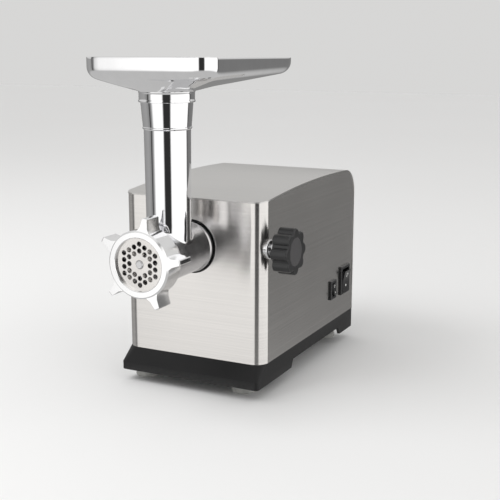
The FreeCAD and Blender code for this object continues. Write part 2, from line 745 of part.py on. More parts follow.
def make_ring_nut():
    """Ring nut with an inner lip that holds the plate, and lugs to turn it by."""
    thread_in = thread_r + nut_thread_clear
    ring = turned_y([
        (nut_mouth_r, nut_front_y + 0.6), (nut_mouth_r + 0.6, nut_front_y), (nut_r - 1.6, nut_front_y),
        (nut_r, nut_front_y + 1.6), (nut_r, nut_rear_y - 1), (nut_r - 0.8, nut_rear_y),
        (thread_in, nut_rear_y), (thread_in, plate_front_y - 0.1), (nut_mouth_r, plate_front_y - 0.1),
    ])
    tip = nut_r + lug_reach
    lug = Part.Face(Part.makePolygon([
        V(-6.6, 0, thread_in + 0.8), V(-3.9, 0, nut_r + 3.2), V(-2.3, 0, tip), V(2.3, 0, tip),
        V(3.9, 0, nut_r + 3.2), V(6.6, 0, thread_in + 0.8), V(-6.6, 0, thread_in + 0.8),
    ])).extrude(V(0, nut_len - 3.0, 0))
    lug.translate(V(0, nut_front_y + 1.0, 0))
    sharp = [e for e in lug.Edges if e.BoundBox.ZMin > tip - 0.01]
    lug = lug.makeFillet(1.0, sharp)
    lug.translate(V(0, 0, axis_z))
    parts = [ring]
    for k in range(lug_count):
        turned = lug.copy()
        turned.rotate(V(0, 0, axis_z), V(0, 1, 0), 90 - lug_first_deg - 360.0 * k / lug_count)
        parts.append(turned)
    return fuse_all(parts)


# ---------------------------------------------------------------- tray


def tray_form(inset, z_top, z_neck, r_neck):
    """The tray's form, or the same set in by its thickness: wall, round, and floor falling to the neck."""
    x = tray_half_w - inset
    y0, y1 = neck_y - tray_front + inset, neck_y + tray_rear - inset
    wall_low = tray_rim_z - tray_wall_h
    round_r = tray_round_r - inset

    def section(step, z, rear_change):
        slope = rear_change / (tray_front + tray_rear)
        return plan_wire(-x + step, x - step, y0 + step, y1 - step, tray_corner_r - inset - step * 0.6,
                         tray_rear_corner_r - inset - step * 0.6, z - slope * (neck_y - tray_front), slope)

    wires = [section(0, z_top, -tray_rear_drop), section(0, wall_low, tray_foot_rise)]
    for deg in (20, 40, 60, 72):
        a = math.radians(deg)
        wires.append(section(round_r * (1 - math.cos(a)), wall_low - round_r * math.sin(a), tray_foot_rise))
    centre = (0.0, neck_y)
    neck_edges = []
    starts = []
    outline = wires[-1]
    for v in outline.OrderedVertexes:
        starts.append(math.atan2(v.Point.y - centre[1], v.Point.x - centre[0]))
    for k, a in enumerate(starts):
        b = starts[(k + 1) % len(starts)]
        while b < a:
            b += 2 * math.pi
        pts = [V(centre[0] + r_neck * math.cos(t), centre[1] + r_neck * math.sin(t), z_neck)
               for t in (a, (a + b) / 2, b)]
        neck_edges.append(Part.Arc(*pts).toShape())
    neck = Part.Wire(neck_edges)
    upper = Part.makeLoft(wires, True, True)
    lower = Part.makeLoft([outline, neck], True, True)
    return upper.fuse(lower).removeSplitter()


def make_tray():
    """Food tray: a pan with an upright wall, its floor falling to a collar that fits over the feed tube."""
    outer = tray_form(0, tray_rim_z, collar_top_z, collar_r)
    inner = tray_form(tray_t, tray_rim_z + 5, collar_top_z + tray_t, feed_bore_r + 0.5)
    low = tube_top_z - collar_h + 4
    collar = turned_z([
        (feed_bore_r + 0.5, collar_top_z + 3), (feed_bore_r + 0.5, tube_top_z + 0.1),
        (collar_in_r, tube_top_z + 0.1), (collar_in_r, low), (collar_r + 0.4, low),
        (collar_r + 0.4, low + 1.6), (collar_r, low + 2.2), (collar_r, collar_top_z - 1.8),
        (collar_r + 0.4, collar_top_z - 1.2), (collar_r + 0.4, collar_top_z + 0.2),
        (collar_r - 2, collar_top_z + 3),
    ], 0, neck_y)
    pan = outer.cut(inner)
    whole = pan.fuse(collar.cut(inner)).removeSplitter()
    return whole.cut(cyl_z(feed_bore_r + 0.5, tube_top_z - 20, tray_rim_z, 0, neck_y))


# ---------------------------------------------------------------- gears


def flank_angle(r, n, m):
    """Half the angle of a tooth at radius r, with its share of the backlash taken off."""
    pitch_r = n * m / 2
    pa = math.radians(pressure_deg)
    base_r = pitch_r * math.cos(pa)
    half = math.pi / (2 * n) - backlash / (4 * pitch_r)
    roll = math.acos(min(1.0, base_r / max(r, base_r)))
    return half + (math.tan(pa) - pa) - (math.tan(roll) - roll)


def make_gear(n, m, y0, y1, axis, tooth_at):
    """Spur gear with involute flanks, one tooth's middle at the angle tooth_at from +X towards +Z."""
    pitch_r = n * m / 2
    tip_r = pitch_r + addendum * m
    root_r = pitch_r - dedendum * m
    base_r = pitch_r * math.cos(math.radians(pressure_deg))
    start_r = max(root_r, base_r)
    mid_r = (start_r + tip_r) / 2

    def at(r, a):
        return V(axis[0] + r * math.cos(a), y0, axis[1] + r * math.sin(a))

    edges = []
    for k in range(n):
        c = tooth_at + 2 * math.pi * k / n
        nxt = c + 2 * math.pi / n
        f0, f1, f2 = (flank_angle(r, n, m) for r in (start_r, mid_r, tip_r))
        if root_r < start_r - 1e-6:
            edges.append(Part.makeLine(at(root_r, c - f0), at(start_r, c - f0)))
        edges.append(Part.Arc(at(start_r, c - f0), at(mid_r, c - f1), at(tip_r, c - f2)).toShape())
        edges.append(Part.Arc(at(tip_r, c - f2), at(tip_r, c), at(tip_r, c + f2)).toShape())
        edges.append(Part.Arc(at(tip_r, c + f2), at(mid_r, c + f1), at(start_r, c + f0)).toShape())
        if root_r < start_r - 1e-6:
            edges.append(Part.makeLine(at(start_r, c + f0), at(root_r, c + f0)))
        gap_mid = (c + nxt) / 2
        edges.append(Part.Arc(at(root_r, c + f0), at(root_r, gap_mid), at(root_r, nxt - f0)).toShape())
    return Part.Face(Part.Wire(edges)).extrude(V(0, y1 - y0, 0))


def angle_between(a, b):
    """The angle of the line from axis a to axis b, from +X towards +Z."""
    return math.atan2(b[1] - a[1], b[0] - a[0])


def lightening(n_holes, r_place, r_hole, y0, y1, axis):
    """Round holes in a gear's web."""
    holes = []
    for k in range(n_holes):
        a = 2 * math.pi * k / n_holes
        place = (axis[0] + r_place * math.cos(a), axis[1] + r_place * math.sin(a))
        holes.append(cyl_y(r_hole, y0 - 1, y1 + 1, place))
    return holes


def make_output_gear():
    """Last gear, with its hollow hub that takes the auger's square, and its two journals."""
    wheel = make_gear(output_gear_n, output_module, output_y0, output_y1, output_axis,
                      angle_between(output_axis, second_axis))
    wheel = wheel.cut(lightening(6, 24.0, 5.5, output_y0, output_y1, output_axis))
    hub = cyl_y(12.0, case_front_y + 0.5, output_y1 + 2)
    journal = cyl_y(6.0, output_y1 + 1, case_end_y - 0.5)
    half = drive_square / 2 + drive_clear
    square = box(-half, half, case_front_y - 1, output_y0 + 10, axis_z - half, axis_z + half)
    return fuse_all([wheel, hub, journal]).cut(square)


def make_second_pinion():
    """Second shaft with the pinion that drives the output gear."""
    toward = angle_between(second_axis, output_axis)
    pinion = make_gear(second_pinion_n, output_module, output_y0 - 1, output_y1 + 1, second_axis,
                       toward + math.pi / second_pinion_n)
    return fuse_all([pinion, cyl_y(4.0, case_front_y + 0.5, case_end_y - 0.5, second_axis)])


def make_second_gear():
    """Second gear, on the second shaft."""
    wheel = make_gear(second_gear_n, second_module, second_y0, second_y1, second_axis,
                      angle_between(second_axis, first_axis))
    web = lightening(6, 21.0, 5.0, second_y0, second_y1, second_axis)
    hub = cyl_y(8.0, second_y0 - 1.0, second_y1 + 1.5, second_axis)
    bore = cyl_y(4.02, second_y0 - 5, second_y1 + 5, second_axis)
    return fuse_all([wheel.cut(web), hub]).cut(bore)


def make_first_pinion():
    """First shaft with the pinion that drives the second gear."""
    toward = angle_between(first_axis, second_axis)
    pinion = make_gear(first_pinion_n, second_module, second_y0 - 1, second_y1 + 1, first_axis,
                       toward + math.pi / first_pinion_n)
    return fuse_all([pinion, cyl_y(4.0, case_front_y + 0.5, case_end_y - 0.5, first_axis)])


def make_first_gear():
    """First gear, on the first shaft, driven by the motor."""
    wheel = make_gear(first_gear_n, first_module, first_y0, first_y1, first_axis,
                      angle_between(first_axis, motor_axis))
    web = lightening(6, 19.0, 4.6, first_y0, first_y1, first_axis)
    hub = cyl_y(8.0, first_y0 - 1.5, first_y1 + 1.5, first_axis)
    bore = cyl_y(4.02, first_y0 - 5, first_y1 + 5, first_axis)
    return fuse_all([wheel.cut(web), hub]).cut(bore)


def make_motor_shaft():
    """Motor shaft with the motor pinion cut on its front end."""
    toward = angle_between(motor_axis, first_axis)
    pinion = make_gear(motor_pinion_n, first_module, first_y0 - 1, first_y1 + 1, motor_axis,
                       toward + math.pi / motor_pinion_n)
    return fuse_all([pinion, cyl_y(motor_shaft_r, first_y1 + 1, bracket_y1 - 1, motor_axis)])


# ---------------------------------------------------------------- gear case and motor


def shaft_axes():
    """Axes that run in plain bushes in both case walls, with their shaft radii."""
    return [(second_axis, 4.0), (first_axis, 4.0)]


def make_gearcase_front():
    """Die-cast front of the gear case: socket for the head, boss for the clamp screw, wall and feet."""
    x, z = case_half_w, floor_top_z + 0.1
    wall = block_with_corners(-x, x, case_front_y, case_in_y, case_bottom_z, case_top_z, 8)
    legs = box(-x + 6, x - 6, case_front_y, case_in_y, z, case_bottom_z + 12)
    toes = box(-x + 6, x - 6, case_front_y, case_in_y + 16, z, z + 4)
    socket = cyl_y(socket_r + socket_wall, front_y + sheet_t + 1.6, case_front_y + 1)
    boss = cyl_x(8.2, socket_r + 1, side_x - corner_r, clamp_y, clamp_z)
    body = fuse_all([wall, legs, toes, socket, boss])
    cuts = [
        cyl_y(socket_r, front_y - 5, shank_rear_y + 0.5),
        cyl_y(15.0, case_front_y - 5, case_in_y + 1),
        cyl_x(screw_r + screw_clear, 5, side_x, clamp_y, clamp_z),
    ]
    cuts += [cyl_y(r + 3.0, case_front_y - 1, case_in_y + 1, axis) for axis, r in shaft_axes()]
    cuts += [cyl_z(2.1, floor_top_z - 1, floor_top_z + 6, x, case_in_y + 9) for x in chassis_xs()]
    cuts += [cyl_y(1.6, case_front_y - 1, case_in_y + 1, p) for p in case_screw_places()]
    return body.cut(cuts)


def chassis_xs():
    """Sideways places of the screws that hold the gear case and the motor's bracket to the base."""
    return (-case_half_w + 16, case_half_w - 16)


def case_screw_places():
    """Corners of the gear case where its two halves are screwed together, as (x, z)."""
    x, z0, z1 = case_half_w - 5, case_bottom_z + 5, case_top_z - 5
    return [(-x, z0), (x, z0), (-x, z1), (x, z1)]


def make_gearcase_cover():
    """Cup-shaped rear half of the gear case, with the motor's front bearing seat."""
    y0 = case_in_y + 0.05
    outer = block_with_corners(-case_half_w, case_half_w, y0, case_end_y, case_bottom_z, case_top_z, 8)
    inner = block_with_corners(-case_half_w + case_wall, case_half_w - case_wall, y0 - 1, case_back_y,
                               case_bottom_z + case_wall, case_top_z - case_wall, 6)
    bosses = [cyl_y(4.5, y0, case_back_y + 1, p) for p in case_screw_places()]
    body = fuse_all([outer.cut(inner)] + [b.common(outer) for b in bosses])
    cuts = [cyl_y(1.6, y0 - 1, case_back_y - 4, p) for p in case_screw_places()]
    cuts.append(cyl_y(9.0, case_back_y - 1, case_end_y + 1, output_axis))
    cuts += [cyl_y(r + 3.0, case_back_y - 1, case_end_y + 1, axis) for axis, r in shaft_axes()]
    cuts.append(cyl_y(9.5, case_back_y - 1, case_end_y + 1, motor_axis))
    cuts += [cyl_y(2.1, case_back_y - 1, case_end_y + 1, p) for p in motor_bolt_places()]
    return body.cut(cuts)


def motor_bolt_places():
    """The two long bolts that hold the stator and bracket to the gear case, as (x, z)."""
    d = stator_half - 6
    return [(motor_axis[0] + d, motor_axis[1] - d), (motor_axis[0] - d, motor_axis[1] + d)]


def make_case_screws():
    """Screws that close the gear case."""
    screws = []
    for p in case_screw_places():
        head = cyl_y(3.2, case_front_y - 2.4, case_front_y - 0.05, p)
        shank = cyl_y(1.5, case_front_y - 0.1, case_back_y - 6, p)
        screws.append(fuse_all([head, shank]))
    return Part.makeCompound(screws)


def make_output_bushes():
    """Bronze bushes of the output gear's two journals."""
    front = ring_y(15.0, 12.0 + running, case_front_y, case_in_y + 1.5)
    rear = ring_y(9.0, 6.0 + running, case_back_y - 1, case_end_y, output_axis)
    return Part.makeCompound([front, rear])


def make_idler_bushes():
    """Bronze bushes of the two intermediate shafts, at both ends."""
    rings = []
    for axis, r in shaft_axes():
        rings.append(ring_y(r + 3.0, r + running, case_front_y, case_in_y + 1, axis))
        rings.append(ring_y(r + 3.0, r + running, case_back_y - 1, case_end_y, axis))
    return Part.makeCompound(rings)


def make_motor_bearings():
    """Outlines of the two ball bearings on the motor shaft."""
    front = ring_y(9.5, motor_shaft_r + 0.02, case_back_y - 2, case_end_y, motor_axis)
    rear = ring_y(9.5, motor_shaft_r + 0.02, bracket_y0 + 1, bracket_y1 - 1.5, motor_axis)
    return Part.makeCompound([front, rear])


def make_stator_core():
    """Laminated stator: a square yoke with two pole shoes above and below the armature."""
    x, z = motor_axis
    s = stator_half
    yoke = block_with_corners(x - s, x + s, stack_y0, stack_y1, z - s, z + s, 9)
    window = block_with_corners(x - s + 9, x + s - 9, stack_y0 - 1, stack_y1 + 1, z - s + 9, z + s - 9, 3)
    poles = box(x - 17, x + 17, stack_y0, stack_y1, z - s + 5, z + s - 5)
    shoes = cyl_y(armature_r + air_gap + 3.2, stack_y0, stack_y1, motor_axis).common(
        box(x - 22, x + 22, stack_y0, stack_y1, z - s, z + s))
    body = fuse_all([yoke.cut(window), poles, shoes])
    cuts = [cyl_y(armature_r + air_gap, stack_y0 - 1, stack_y1 + 1, motor_axis)]
    cuts.append(box(x - s + 9, x + s - 9, stack_y0 - 1, stack_y1 + 1, z - 9, z + 9))
    cuts += [cyl_y(2.1, stack_y0 - 1, stack_y1 + 1, p) for p in motor_bolt_places()]
    return body.cut(cuts)


def make_field_coils():
    """Two field coils, one round each pole."""
    x, z = motor_axis
    coils = []
    for sign in (-1, 1):
        lo, hi = sorted((z + sign * (armature_r - 0.8), z + sign * (stator_half - 9.3)))
        outer = plan_solid(x - 25.5, x + 25.5, stack_y0 - 8, stack_y1 + 8, 8, 8, lo, hi)
        inner = plan_solid(x - 17.4, x + 17.4, stack_y0 - 0.4, stack_y1 + 0.4, 0.5, 0.5, lo - 1, hi + 1)
        coils.append(outer.cut(inner))
    shoes = cyl_y(armature_r + air_gap + 3.4, stack_y0 - 9, stack_y1 + 9, motor_axis)
    return Part.makeCompound([c.cut(shoes) for c in coils])


def make_armature():
    """Slotted armature core."""
    core = cyl_y(armature_r, stack_y0, stack_y1, motor_axis)
    slots = []
    for k in range(12):
        slot = box(-1.6, 1.6, stack_y0 - 1, stack_y1 + 1, armature_r - 8.5, armature_r - 1.4).fuse(
            box(-0.8, 0.8, stack_y0 - 1, stack_y1 + 1, armature_r - 2, armature_r + 1))
        slot.rotate(V(0, 0, 0), V(0, 1, 0), 30 * k)
        slot.translate(V(motor_axis[0], 0, motor_axis[1]))
        slots.append(slot)
    return core.cut(slots).cut(cyl_y(motor_shaft_r, stack_y0 - 1, stack_y1 + 1, motor_axis))


def make_armature_windings():
    """Copper end turns at both ends of the armature."""
    ends = []
    for y0, y1 in ((stack_y0 - 8, stack_y0 - 0.05), (stack_y1 + 0.05, stack_y1 + 8)):
        flat, out = (y1, y0) if y0 < stack_y0 else (y0, y1)
        mid = (flat + out) / 2
        ends.append(turned_y([
            (motor_shaft_r + 0.02, flat), (armature_r - 2, flat), (armature_r - 2.5, mid),
            (armature_r - 7, out), (motor_shaft_r + 0.02, out),
        ], motor_axis))
    return Part.makeCompound(ends)


def make_commutator():
    """Commutator with the gaps between its bars."""
    r = 11.0
    body = ring_y(r, motor_shaft_r, comm_y0, comm_y1, motor_axis)
    gaps = []
    for k in range(24):
        gap = box(-0.25, 0.25, comm_y0 + 2, comm_y1 + 1, r - 1.5, r + 1)
        gap.rotate(V(0, 0, 0), V(0, 1, 0), 15 * k)
        gap.translate(V(motor_axis[0], 0, motor_axis[1]))
        gaps.append(gap)
    return body.cut(gaps)


def make_fan():
    """Cooling fan with straight vanes, behind the gear case."""
    hub = ring_y(9.0, motor_shaft_r, fan_y0, fan_y1, motor_axis)
    disc = ring_y(30.0, motor_shaft_r, fan_y1 - 2.0, fan_y1, motor_axis)
    vanes = []
    for k in range(9):
        vane = box(-0.9, 0.9, fan_y0 + 1, fan_y1 - 1, 8.0, 29.5)
        vane.rotate(V(0, 0, 0), V(0, 1, 0), 40 * k)
        vane.translate(V(motor_axis[0], 0, motor_axis[1]))
        vanes.append(vane)
    return fuse_all([hub, disc] + vanes)


def make_motor_bracket():
    """Rear bracket: carries the motor's rear bearing and stands on the base."""
    x, z = motor_axis
    s = stator_half
    plate = block_with_corners(x - s, x + s, bracket_y0, bracket_y0 + 3, z - 16, z + 16, 6)
    arms = [box(px - 6, px + 6, bracket_y0, bracket_y0 + 3, min(pz - 6, z), max(pz + 6, z))
            for px, pz in motor_bolt_places()]
    cup = cyl_y(12.5, bracket_y0, bracket_y1, motor_axis)
    leg = box(x - 24, x + 24, bracket_y0, bracket_y0 + 3, floor_top_z + 0.1, z)
    xs = chassis_xs()
    toe = box(xs[0] - 8, xs[1] + 8, bracket_y0, bracket_y0 + 16, floor_top_z + 0.1, floor_top_z + 3.1)
    body = fuse_all([plate, cup, leg, toe] + arms)
    cuts = [cyl_y(9.5, bracket_y0 - 1, bracket_y1 - 1.5, motor_axis),
            cyl_y(motor_shaft_r + 1, bracket_y0 - 1, bracket_y1 + 1, motor_axis)]
    cuts += [cyl_y(2.1, bracket_y0 - 1, bracket_y0 + 4, p) for p in motor_bolt_places()]
    cuts += [cyl_z(2.1, floor_top_z - 1, floor_top_z + 6, cx, bracket_y0 + 10) for cx in xs]
    return body.cut(cuts)


def make_motor_bolts():
    """Long bolts through the stator, with spacer tubes between the gear case, stator and bracket."""
    solids = []
    for p in motor_bolt_places():
        solids.append(fuse_all([
            cyl_y(2.0, case_back_y - 2.5, bracket_y0 + 5, p),
            cyl_y(4.0, case_back_y - 2.5, case_back_y - 0.05, p),
            cyl_y(3.6, bracket_y0 + 3.05, bracket_y0 + 6, p),
        ]))
        solids.append(ring_y(4.5, 2.1, case_end_y + 0.05, stack_y0 - 0.05, p))
        solids.append(ring_y(4.5, 2.1, stack_y1 + 0.05, bracket_y0 - 0.05, p))
    return Part.makeCompound(solids)


def make_chassis_screws():
    """Screws from the gear case's toes and the bracket's toe down into the base."""
    screws = []
    for y, t in ((case_in_y + 9, 4.1), (bracket_y0 + 10, 3.1)):
        for x in chassis_xs():
            top = floor_top_z + t
            screws.append(fuse_all([
                cyl_z(3.4, top + 0.05, top + 2.4, x, y), cyl_z(2.0, floor_top_z + 0.1, top + 1, x, y)]))
    return Part.makeCompound(screws)


def brush_places():
    """Left and right of the commutator."""
    return (-1, 1)


def make_brush_holders():
    """Brass tubes that guide the brushes, held off the bracket by a bar each."""
    x, z = motor_axis
    ym = (comm_y0 + comm_y1) / 2 + 1
    holders = []
    for s in brush_places():
        lo, hi = sorted((x + s * 13, x + s * 31))
        tube = box(lo, hi, ym - 4.5, ym + 4.5, z - 4, z + 4)
        tube = tube.cut(box(lo - 1, hi + 1, ym - 3, ym + 3, z - 2.6, z + 2.6))
        blo, bhi = sorted((x + s * 20, x + s * 26))
        bar = box(blo, bhi, ym + 4.4, bracket_y0 - 0.05, z - 4, z + 4)
        holders.append(fuse_all([tube, bar]))
    return Part.makeCompound(holders)


def make_carbon_brushes():
    """Carbon blocks that press on the commutator."""
    x, z = motor_axis
    ym = (comm_y0 + comm_y1) / 2 + 1
    blocks = []
    for s in brush_places():
        lo, hi = sorted((x + s * 11.15, x + s * 25))
        blocks.append(box(lo, hi, ym - 2.9, ym + 2.9, z - 2.5, z + 2.5))
    return Part.makeCompound(blocks)


# ---------------------------------------------------------------- all the nodes


def main():
    """Builds and writes every node."""
    os.makedirs(OUT, exist_ok=True)
    export("steel_wrap", make_steel_wrap())
    export("top_cover", make_top_cover())
    export("base", make_base())
    for name, (x, y) in foot_places().items():
        export(name, make_foot(x, y))
    export("foot_screws", make_foot_screws())
    export("socket_trim", make_socket_trim())
    export("cord_gland", make_cord_gland())
    for name, (y, z, w, h), depth, tilt in (
            ("main", main_switch, main_switch_depth, rocker_tilt),
            ("small", small_switch, small_switch_depth, -rocker_tilt)):
        export(name + "_switch_case", make_switch_case(y, z, w, h, depth))
        export(name + "_switch_pin", make_switch_pin(y, z, w))
        export(name + "_rocker", make_rocker(y, z, w, h, tilt))
    export("clamp_bush", make_clamp_bush())
    export("clamp_pad", make_clamp_pad())
    export("clamp_screw", make_clamp_screw())
    export("clamp_knob", make_knob())
    export("knob_cap", make_knob_cap())
    export("grinder_body", make_grinder_body())
    export("barrel_bush", make_barrel_bush())
    export("plate_key", make_plate_key())
    export("auger", make_auger())
    export("thrust_washer", make_thrust_washer())
    export("knife", make_knife())
    export("hole_plate", make_hole_plate())
    export("ring_nut", make_ring_nut())
    export("tray", make_tray())
    export("output_gear", make_output_gear())
    export("second_pinion", make_second_pinion())
    export("second_gear", make_second_gear())
    export("first_pinion", make_first_pinion())
    export("first_gear", make_first_gear())
    export("motor_shaft", make_motor_shaft())
    export("gearcase_front", make_gearcase_front())
    export("gearcase_cover", make_gearcase_cover())
    export("gearcase_screws", make_case_screws())
    export("output_bushes", make_output_bushes())
    export("idler_bushes", make_idler_bushes())
    export("motor_bearings", make_motor_bearings())
    export("stator_core", make_stator_core())
    export("field_coils", make_field_coils())
    export("armature_core", make_armature())
    export("armature_windings", make_armature_windings())
    export("commutator", make_commutator())
    export("cooling_fan", make_fan())
    export("motor_bracket", make_motor_bracket())
    export("motor_bolts", make_motor_bolts())
    export("chassis_screws", make_chassis_screws())
    export("brush_holders", make_brush_holders())
    export("carbon_brushes", make_carbon_brushes())


main()
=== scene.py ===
import json
import math

import bmesh
import bpy
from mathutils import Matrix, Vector


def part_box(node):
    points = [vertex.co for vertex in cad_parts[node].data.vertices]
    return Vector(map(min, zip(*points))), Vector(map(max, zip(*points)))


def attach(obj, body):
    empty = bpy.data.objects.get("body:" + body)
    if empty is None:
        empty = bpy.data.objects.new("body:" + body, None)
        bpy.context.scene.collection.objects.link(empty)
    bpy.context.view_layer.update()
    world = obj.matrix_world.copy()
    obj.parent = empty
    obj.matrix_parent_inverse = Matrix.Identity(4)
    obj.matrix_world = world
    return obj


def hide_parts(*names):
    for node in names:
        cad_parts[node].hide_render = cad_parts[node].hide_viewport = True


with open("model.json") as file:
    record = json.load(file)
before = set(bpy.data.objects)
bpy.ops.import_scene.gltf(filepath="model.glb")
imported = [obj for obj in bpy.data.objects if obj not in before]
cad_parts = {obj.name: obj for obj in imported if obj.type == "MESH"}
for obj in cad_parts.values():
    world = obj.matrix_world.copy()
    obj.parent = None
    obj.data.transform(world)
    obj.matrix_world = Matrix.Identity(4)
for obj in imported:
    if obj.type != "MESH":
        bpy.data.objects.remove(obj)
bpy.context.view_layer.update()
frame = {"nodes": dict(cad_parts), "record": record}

# ---------------------------------------------------------------- sizes and places, in metres

MM = 0.001
ROUND = 144                                   # points round a turned piece

case_lo, case_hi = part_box("steel_wrap")
mid_x = (case_lo.x + case_hi.x) / 2
front_y = case_lo.y

bush_lo, bush_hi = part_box("barrel_bush")
axis_z = (bush_lo.z + bush_hi.z) / 2

head_lo, head_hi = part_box("grinder_body")
tray_lo, tray_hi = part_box("tray")
plate_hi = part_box("hole_plate")[1]
nut_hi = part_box("ring_nut")[1]
knife_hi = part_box("knife")[1]

mounts = {m["name"]: m for m in frame["record"]["mounts"]}
throat = mounts["feed_throat"]
neck = Vector((throat["pos_m"][0], throat["pos_m"][1], 0))
bore_r = throat["dims"]["r_mm"] * MM
tube_top = head_hi.z

# Grinding head
barrel_r = 24.3 * MM
shank_r = 25.0 * MM
thread_r = 28.8 * MM
thread_pitch = 3.0 * MM
thread_depth = 0.7 * MM
chamber_r = 21.8 * MM
plate_seat_r = 26.2 * MM
knife_room_r = 24.8 * MM
bush_hole_r = 11.0 * MM
bush_length = 10.0 * MM
bush_gap = 5.0 * MM                           # from the feed bore's rear edge to the bush's wall
shank_wall = 4.5 * MM
throat_r = 19.2 * MM
throat_flare_z = 184.0 * MM
tube_low_r = 21.0 * MM
tube_mid_r = 21.7 * MM
tube_top_r = 24.2 * MM
bead_z = 264.2 * MM
bead_r = tube_mid_r + 1.1 * MM
junction_r = 3.0 * MM

# Tray
tray_t = 1.5 * MM
tray_wall_h = 9.5 * MM
tray_round_r = 12.0 * MM
tray_corner_r = 17.0 * MM
tray_rear_corner_r = 30.0 * MM
tray_rear_drop = 2.0 * MM
tray_foot_rise = 4.0 * MM
collar_in_r = 24.5 * MM
collar_r = 25.7 * MM
collar_bead = 0.4 * MM
collar_over_tube = 4.0 * MM                   # from the tube's top up to where the floor begins

# Switch rockers
switch_wall = 3.4 * MM
rocker_end_gap = 1.0 * MM
rocker_rise = 1.9 * MM
rocker_dip = 0.5 * MM
rocker_pin_depth = 3.0 * MM
rocker_tilt = 7.0                             # degrees
mark_height = 0.12 * MM
mark_root = 0.1 * MM
mark_up = 6.2 * MM

# Camera, from the middle of the case's front
camera_from = Vector((0.4682, -0.8105, 0.3384))
camera_azimuth = 26.49
camera_down = 11.87
camera_lens = 70.1

# ---------------------------------------------------------------- meshes


def piece(name, points, faces, sharp_deg=32.0):
    """A mesh object, smooth except along edges sharper than the angle."""
    mesh = bpy.data.meshes.new(name)
    mesh.from_pydata([tuple(p) for p in points], [], faces)
    bm = bmesh.new()
    bm.from_mesh(mesh)
    bmesh.ops.remove_doubles(bm, verts=bm.verts, dist=1e-7)
    bmesh.ops.recalc_face_normals(bm, faces=bm.faces)
    bm.to_mesh(mesh)
    bm.free()
    mesh.polygons.foreach_set("use_smooth", [True] * len(mesh.polygons))
    mesh.set_sharp_from_angle(angle=math.radians(sharp_deg))
    obj = bpy.data.objects.new(name, mesh)
    bpy.context.scene.collection.objects.link(obj)
    return obj


def skin(rings, closed=True):
    """Points and faces of a tube through rings that have the same number of points."""
    count = len(rings[0])
    points = [p for ring in rings for p in ring]
    faces = []
    last = len(rings) if closed else len(rings) - 1
    for a in range(last):
        b = (a + 1) % len(rings)
        for k in range(count):
            n = (k + 1) % count
            faces.append((a * count + k, a * count + n, b * count + n, b * count + k))
    return points, faces


def ring_y(r, y, wave=None):
    """A ring round the grinding axis; wave gives each angle's own radius."""
    out = []
    for k in range(ROUND):
        a = 2 * math.pi * k / ROUND
        radius = r + (wave(a, y) if wave else 0.0)
        out.append(Vector((mid_x + radius * math.cos(a), y, axis_z + radius * math.sin(a))))
    return out


def ring_z(r, z):
    """A ring round the feed tube's axis."""
    turn = [2 * math.pi * k / ROUND for k in range(ROUND)]
    return [Vector((neck.x + r * math.cos(a), neck.y + r * math.sin(a), z)) for a in turn]


def steps(outline, longest=3 * MM):
    """An outline with its long lines divided, so that shading along them stays even."""
    out = [outline[0]]
    for (ra, ta), (rb, tb) in zip(outline, outline[1:]):
        n = max(1, int(math.hypot(rb - ra, tb - ta) / longest))
        out += [(ra + (rb - ra) * k / n, ta + (tb - ta) * k / n) for k in range(1, n + 1)]
    return out


def round_corner(prev, point, after, r, n=5):
    """Points of a small round in place of an outline's corner."""
    p, a, b = Vector(point), Vector(prev), Vector(after)
    da, db = (a - p).normalized(), (b - p).normalized()
    half = da.angle(db) / 2
    back = min(r / math.tan(half), 0.45 * (a - p).length, 0.45 * (b - p).length)
    start, end = p + da * back, p + db * back
    out = []
    for k in range(n + 1):
        t = k / n
        q = start * (1 - t) ** 2 + p * 2 * t * (1 - t) + end * t ** 2
        out.append((q.x, q.y))
    return out


def rounded(outline, r, closed=True):
    """An outline with a small round at every corner."""
    out = []
    count = len(outline)
    for k, point in enumerate(outline):
        if not closed and k in (0, count - 1):
            out.append(point)
        else:
            out += round_corner(outline[k - 1], point, outline[(k + 1) % count], r)
    return out


def cut(obj, cutter):
    """Takes the cutter away from obj for good."""
    mod = obj.modifiers.new("cut", "BOOLEAN")
    mod.operation = "DIFFERENCE"
    mod.solver = "EXACT"
    mod.object = cutter
    graph = bpy.context.evaluated_depsgraph_get()
    mesh = bpy.data.meshes.new_from_object(obj.evaluated_get(graph))
    obj.modifiers.clear()
    old = obj.data
    obj.data = mesh
    bpy.data.meshes.remove(old)
    bpy.data.objects.remove(cutter)
    mesh.set_sharp_from_angle(angle=math.radians(32))


# ---------------------------------------------------------------- node materials


